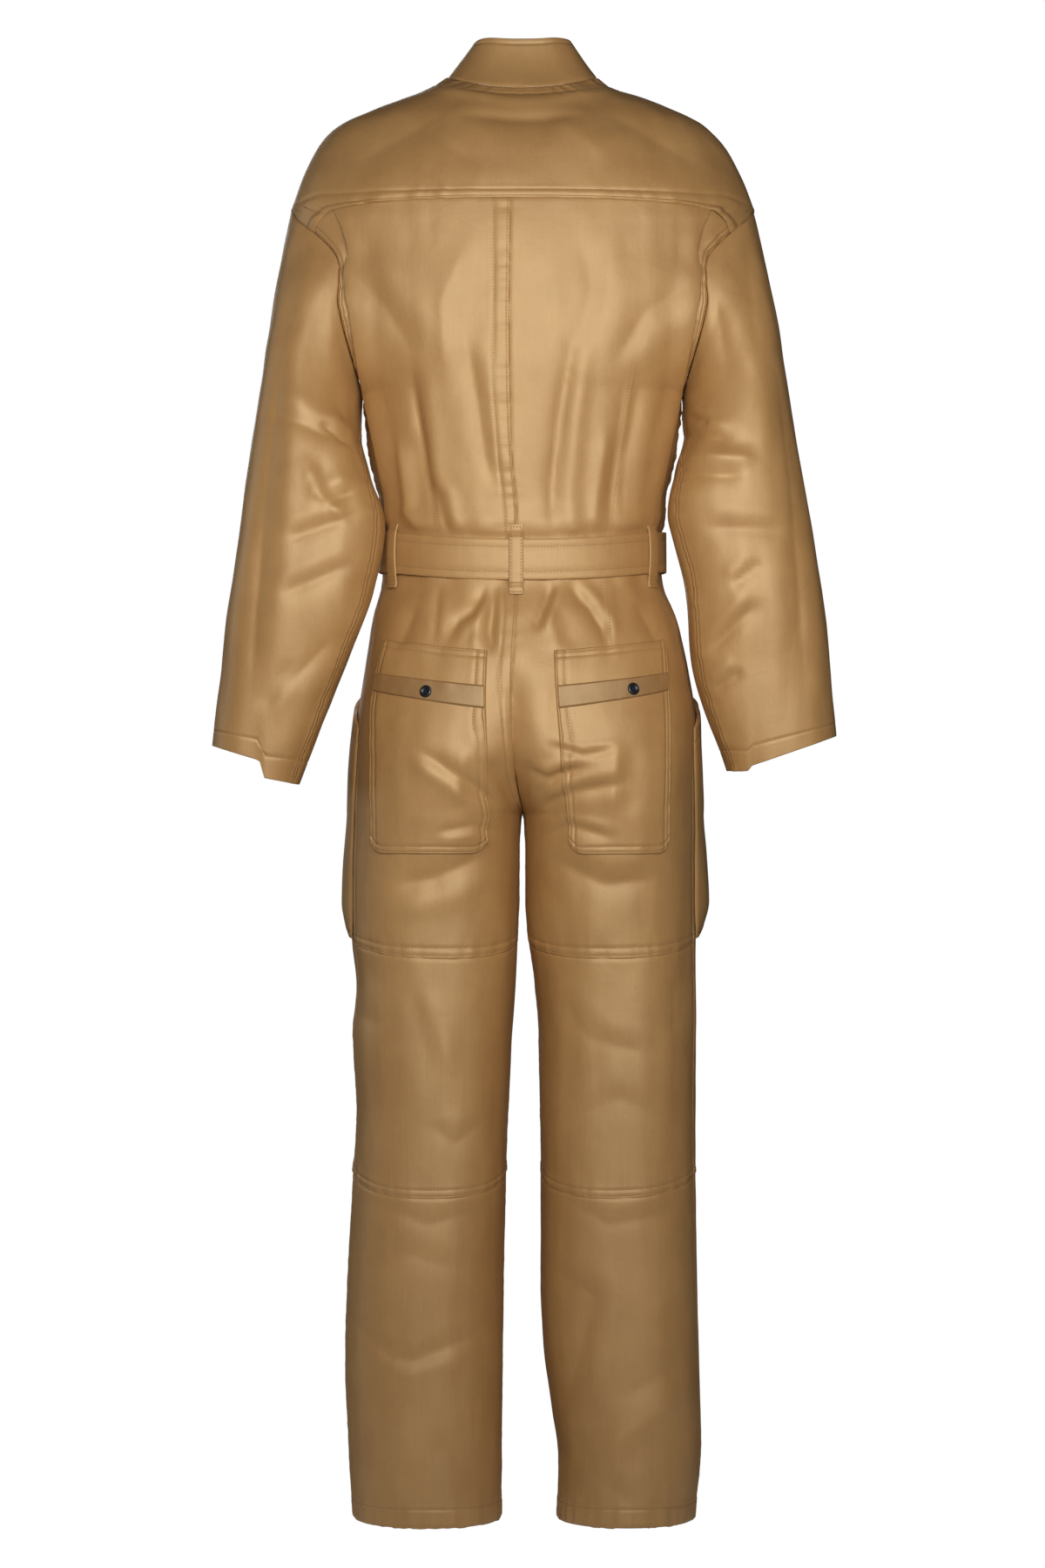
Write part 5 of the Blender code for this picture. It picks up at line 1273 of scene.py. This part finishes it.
def add_loop(name, angle):
    """A strap sewn down above and below the belt, and standing over it."""
    middle, half = float(belt_middle(angle)), BELT_HEIGHT / 2
    behind = angle > 0
    doubled = BELT_THICK + 0.0005 if -90 < angle < TIP_ANGLE else 0.0       # over the belt's free end
    over = BELT_STAND_OFF + BELT_THICK + 0.0009 + doubled
    sewn = 0.0030 if behind else 0.0018
    upper = [half + LOOP_REACH, half + 0.008, half + 0.0050, half + 0.0022, half * 0.6, 0.0]
    heights = np.array(upper + [-height for height in upper[-2::-1]])
    stands = mirrored_ends([sewn, sewn + 0.0002, sewn + 0.0012, over - 0.0006, over + 0.0006, over + 0.0010])
    stations = np.arange(len(heights))
    fine = np.linspace(0, len(heights) - 1, LOOP_ROWS)
    rise = np.interp(fine, stations, heights)
    off = averaged(np.interp(fine, stations, stands))
    z = middle + rise
    if behind:
        z = z + 0.002 * np.sign(rise) * (np.abs(rise) > half + 0.004)
    base, way = waist_place(np.full(LOOP_ROWS, angle), z, off)
    if behind:
        base[:, :2] += way * (np.maximum(-z - 0.510, 0.0) * 0.25)[:, None]
    side = np.stack((-way[:, 1], way[:, 0], 0 * z), axis=-1)
    out = np.stack((way[:, 0], way[:, 1], 0 * z), axis=-1)
    across = LOOP_ACROSS * LOOP_WIDTH / 2
    roll = mirrored_ends(LOOP_ROLL)
    grid = base[:, None] + side[:, None] * across[None, :, None] + out[:, None] * roll[None, :, None]
    obj = cloth_mesh(f"cloth_{name}", grid)
    for column in (4, 10):
        STITCHES.append((grid[3:-3, column], out[3:-3]))
    for row in (3, -4):
        STITCHES.append((grid[row, 2:-2], np.tile(out[row], (11, 1))))
    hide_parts(name)


DART_LEAN = 0.6         # share of the lean where the darts are


def add_dart(line, form_at, group):
    """The double row of stitches down a waist dart."""
    line = np.array(line)
    t = np.linspace(0, len(line) - 1, 40)
    x, z = (np.interp(t, np.arange(len(line)), line[:, k]) for k in (0, 1))
    for beside in (-0.0022, 0.0022):
        points, normals = form_at(x + beside, z)
        depth = relief(points[None], normals[None], group)[0]
        STITCHES.append((points + normals * (depth - 0.0002)[:, None], normals))


def back_at(x, z):
    """Points and normals of the torso's back at these x and z."""
    side = LEFT if x.mean() > 0 else RIGHT
    u = torso_u(BACK, np.abs(x - LEAN(z) * DART_LEAN), z)
    form = partial(torso, side, BACK)
    return form(u, z), form_normals(form, u, z, TORSO_MIDDLE)


def seat_at(x, z):
    """Points and normals of the seat at these x and z."""
    side = LEFT if x.mean() > 0 else RIGHT
    u = leg_u(side, np.abs(x - LEAN(z) * DART_LEAN), z)
    form = partial(leg, side, BACK)
    return form(u, z), form_normals(form, u, z, (side * LEG_MIDDLE_X, 0.0))


# ---------------------------------------------------------------- stitches
STITCH_PITCH, STITCH_LENGTH, STITCH_HALF_WIDTH = 0.0033, 0.0025, 0.00065
# A stitch has six corners: its two ends, its two sides, its top and its bottom.
STITCH_FACES = np.array([
    (0, 2, 4), (2, 1, 4), (1, 3, 4), (3, 0, 4), (2, 0, 5), (1, 2, 5), (3, 1, 5), (0, 3, 5),
])


def read_along(where, at, values):
    """The values at these distances along a line. at holds the distance of each of the line's points."""
    return np.stack([np.interp(where, at, values[:, k]) for k in range(3)], axis=-1)


def stitch_corners(points, normals):
    """The six corners of every stitch along one line."""
    runs = np.linalg.norm(np.diff(points, axis=0), axis=1)
    at = np.concatenate([[0.0], np.cumsum(runs)])
    if at[-1] < 2 * STITCH_PITCH:
        return np.zeros((0, 6, 3))
    where = np.arange(STITCH_PITCH / 2, at[-1] - STITCH_PITCH / 2, STITCH_PITCH)
    centre = read_along(where, at, points)
    way = unit(read_along(where, at, normals))
    along = unit(read_along(where + 0.001, at, points) - centre)
    across = np.cross(way, along)
    centre = centre + way * 0.00012
    return np.stack([
        centre + along * STITCH_LENGTH / 2 - way * 0.0002, centre - along * STITCH_LENGTH / 2 - way * 0.0002,
        centre + across * STITCH_HALF_WIDTH, centre - across * STITCH_HALF_WIDTH,
        centre + way * 0.00038, centre - way * 0.0003,
    ], axis=1)


def add_stitches():
    """The thread of every stitched line, as one object. Its dark colour is painted shade for the shadow on
    the sunk stitches.
    """
    corners = np.concatenate([stitch_corners(points, normals) for points, normals in STITCHES])
    faces = 6 * np.arange(len(corners))[:, None, None] + STITCH_FACES[None]
    add_object("stitches", corners.reshape(-1, 3), faces.reshape(-1, 3).tolist(), "sewing_thread_painted_shade")


# ---------------------------------------------------------------- materials
def node(tree, kind, **values):
    """A node with its sockets and settings filled in. A socket's name has _ for each space."""
    made = tree.nodes.new(kind)
    for key, value in values.items():
        socket = key.replace("_", " ")
        if socket in made.inputs:
            made.inputs[socket].default_value = value
        else:
            setattr(made, key, value)
    return made


def join(tree, *links):
    """Links the nodes: each link is (node, output, node, input)."""
    for source, output, target, socket in links:
        tree.links.new(source.outputs[output], target.inputs[socket])


def color_ramp(tree, low, *between, high):
    """A colour ramp through (position, colour) stops."""
    made = node(tree, "ShaderNodeValToRGB")
    elements = made.color_ramp.elements
    for element, (position, color) in zip(elements, (low, high)):
        element.position, element.color = position, (*color, 1.0)
    for position, color in between:
        elements.new(position).color = (*color, 1.0)
    return made


def material(name, **values):
    """A new material's node tree and its shader."""
    mat = bpy.data.materials.new(name)
    mat.use_nodes = True
    shader = mat.node_tree.nodes["Principled BSDF"]
    for key, value in values.items():
        shader.inputs[key.replace("_", " ")].default_value = value
    return mat.node_tree, shader


def add_cloth_color(tree, shader, place, color, dark, light):
    """Colour that shifts a little over the cloth, with darker specks and fine upright yarns."""
    mottle = node(tree, "ShaderNodeTexNoise", Scale=14.0, Detail=6.0, Roughness=0.6)
    shades = color_ramp(tree, (0.32, dark), (0.5, color), high=(0.68, light))
    specks = node(tree, "ShaderNodeTexNoise", Scale=420.0, Detail=2.0)
    dirt = color_ramp(tree, (0.22, (0.72, 0.70, 0.66)), high=(0.30, (1.0, 1.0, 1.0)))
    specked = node(tree, "ShaderNodeMixRGB", blend_type="MULTIPLY", Fac=1.0)
    stretch = node(tree, "ShaderNodeMapping", Scale=(300.0, 300.0, 16.0))
    yarn = node(tree, "ShaderNodeTexNoise", Scale=1.0, Detail=3.0, Roughness=0.6)
    tone = node(tree, "ShaderNodeMapRange", From_Min=0.3, From_Max=0.7, To_Min=0.965, To_Max=1.035)
    toned = node(tree, "ShaderNodeMixRGB", blend_type="MULTIPLY", Fac=1.0)
    join(
        tree,
        (place, "Object", mottle, "Vector"), (mottle, "Fac", shades, "Fac"),
        (place, "Object", specks, "Vector"), (specks, "Fac", dirt, "Fac"),
        (shades, "Color", specked, "Color1"), (dirt, "Color", specked, "Color2"),
        (place, "Object", stretch, "Vector"), (stretch, "Vector", yarn, "Vector"),
        (yarn, "Fac", tone, "Value"),
        (specked, "Color", toned, "Color1"), (tone, "Result", toned, "Color2"),
        (toned, "Color", shader, "Base Color"),
    )


def add_cloth_bump(tree, shader, place):
    """Small creases, slubs and a fine diagonal weave, each on top of the last."""
    creases = node(tree, "ShaderNodeTexNoise", Scale=30.0, Detail=7.0, Roughness=0.62, Distortion=0.9)
    slub = node(tree, "ShaderNodeTexNoise", Scale=260.0, Detail=4.0, Roughness=0.7)
    weave = node(
        tree, "ShaderNodeTexWave", Scale=520.0, Distortion=1.2, Detail=2.0, bands_direction="DIAGONAL"
    )
    low = node(tree, "ShaderNodeBump", Strength=0.22, Distance=0.0020)
    mid = node(tree, "ShaderNodeBump", Strength=0.20, Distance=0.0004)
    fine = node(tree, "ShaderNodeBump", Strength=0.12, Distance=0.0002)
    for texture, bump in ((creases, low), (slub, mid), (weave, fine)):
        join(tree, (place, "Object", texture, "Vector"), (texture, "Fac", bump, "Height"))
    for under, over in ((low, mid), (mid, fine), (fine, shader)):
        join(tree, (under, "Normal", over, "Normal"))


def cloth_material(name, color, dark, light):
    """Sateen: a soft warm sheen over the cloth's colour and weave."""
    tree, shader = material(
        name, Roughness=0.56, IOR=1.70, Specular_IOR_Level=1.0, Specular_Tint=(1.0, 0.84, 0.55, 1.0)
    )
    place = node(tree, "ShaderNodeTexCoord")
    add_cloth_color(tree, shader, place, color, dark, light)
    add_cloth_bump(tree, shader, place)


def metal_material(name):
    """Dark plating, worn unevenly."""
    tree, shader = material(name, Base_Color=(0.045, 0.050, 0.058, 1.0), Metallic=0.85)
    place = node(tree, "ShaderNodeTexCoord")
    worn = node(tree, "ShaderNodeTexNoise", Scale=300.0, Detail=3.0)
    gloss = node(tree, "ShaderNodeMapRange", To_Min=0.28, To_Max=0.45)
    join(
        tree, (place, "Object", worn, "Vector"), (worn, "Fac", gloss, "Value"),
        (gloss, "Result", shader, "Roughness"),
    )


# ---------------------------------------------------------------- light and camera
WHITE = (1.0, 1.0, 1.0)
# Each light: its place, what it points at, its width and height, its power and its colour.
LIGHTS = {
    "key": ((-0.12, 1.80, -0.26), (0.0, 0.0, -0.42), (1.25, 0.6), 13.8, (1.0, 0.98, 0.95)),
    "fill": ((-0.3, 3.6, -0.9), (0.0, 0.0, -0.75), (0.9, 0.9), 3.3, (1.0, 0.97, 0.93)),
    "front": ((0.5, -3.0, 0.35), (0.0, 0.0, -0.70), (1.8, 1.8), 44.0, WHITE),
    "side_left": ((3.2, -0.7, 0.1), (0.0, 0.0, -0.80), (1.2, 1.8), 14.0, WHITE),
}
KEY_SPREAD = math.radians(120)
AMBIENT = 0.045
FLOOR_PLACE, FLOOR_SIZE = (0.0, 1.35, -1.62), 3.2
CAMERA_DISTANCE, CAMERA_Z, VIEW_HEIGHT, SENSOR_HEIGHT = 5.0, -0.733, 1.674, 36.0


def add_light(name, place, target, size, power, color):
    light = bpy.data.lights.new(name, "AREA")
    light.shape = "RECTANGLE"
    light.size, light.size_y = size
    light.energy, light.color = power, color
    obj = bpy.data.objects.new(name, light)
    obj.location = place
    obj.rotation_euler = (Vector(target) - Vector(place)).to_track_quat("-Z", "Y").to_euler()
    bpy.context.scene.collection.objects.link(obj)


def add_world():
    """A white backdrop that gives only a little light of its own."""
    world = bpy.data.worlds.new("studio")
    world.use_nodes = True
    bpy.context.scene.world = world
    tree = world.node_tree
    tree.nodes.clear()
    seen = node(tree, "ShaderNodeBackground", Color=(*WHITE, 1.0), Strength=1.0)
    ambient = node(tree, "ShaderNodeBackground", Color=(*WHITE, 1.0), Strength=AMBIENT)
    path, mix = node(tree, "ShaderNodeLightPath"), node(tree, "ShaderNodeMixShader")
    out = node(tree, "ShaderNodeOutputWorld")
    join(
        tree, (path, "Is Camera Ray", mix, "Fac"), (ambient, "Background", mix, 1),
        (seen, "Background", mix, 2), (mix, "Shader", out, "Surface"),
    )


def add_floor():
    bpy.ops.mesh.primitive_plane_add(size=FLOOR_SIZE, location=FLOOR_PLACE)
    floor = bpy.context.object
    floor.name = "floor"
    material("pale_floor", Base_Color=(0.9, 0.9, 0.9, 1.0), Roughness=0.8)
    floor.data.materials.append(bpy.data.materials["pale_floor"])


def add_camera():
    """Straight behind the suit, with its whole height in view."""
    scene = bpy.context.scene
    camera = bpy.data.objects.new("camera", bpy.data.cameras.new("camera"))
    scene.collection.objects.link(camera)
    scene.camera = camera
    camera.location = (0.0, CAMERA_DISTANCE, CAMERA_Z)
    camera.rotation_euler = (math.radians(90), 0.0, math.radians(180))
    camera.data.sensor_fit = "VERTICAL"
    camera.data.sensor_height = SENSOR_HEIGHT
    camera.data.lens = SENSOR_HEIGHT * CAMERA_DISTANCE / VIEW_HEIGHT
    scene.view_settings.view_transform = "Standard"


def add_studio():
    add_world()
    for name, light in LIGHTS.items():
        add_light(name, *light)
    bpy.data.lights["key"].spread = KEY_SPREAD
    add_floor()
    add_camera()


# ---------------------------------------------------------------- build
cloth_material("sateen", (0.405, 0.212, 0.072), (0.375, 0.190, 0.063), (0.435, 0.234, 0.083))
# The welt's cloth is the same sateen cut across its grain, in a darker copy: painted shade for the weaker
# sheen of cross-grain cloth.
cloth_material("sateen_across_painted_shade", (0.290, 0.150, 0.053), (0.265, 0.135, 0.047), (0.310, 0.163, 0.060))
# The thread has the cloth's own tone; its darker colour here is painted shade for the shadow that falls on
# the sunk stitches.
cloth_material("sewing_thread_painted_shade", (0.19, 0.100, 0.036), (0.17, 0.090, 0.032), (0.21, 0.112, 0.040))
metal_material("plating")
add_yoke()
add_collar()
for side_name, side in SIDES.items():
    add_back(side_name, side)
    add_front(side_name, side)
    add_sleeve(side_name, side)
    add_trousers(side_name, side)
    add_pocket(side_name, side)
    add_welt(side_name, side)
    add_side_pocket(side_name, side)
for dart in TORSO_DARTS:
    add_dart(dart, back_at, "torso")
for dart in SEAT_DARTS:
    add_dart(dart, seat_at, "leg")
add_placket()
add_belt()
for loop_name, loop_angle in LOOPS.items():
    add_loop(loop_name, loop_angle)
add_stitches()

buckle = bpy.data.objects["buckle"]
buckle.data.materials.clear()
buckle.data.materials.append(bpy.data.materials["plating"])

add_studio()
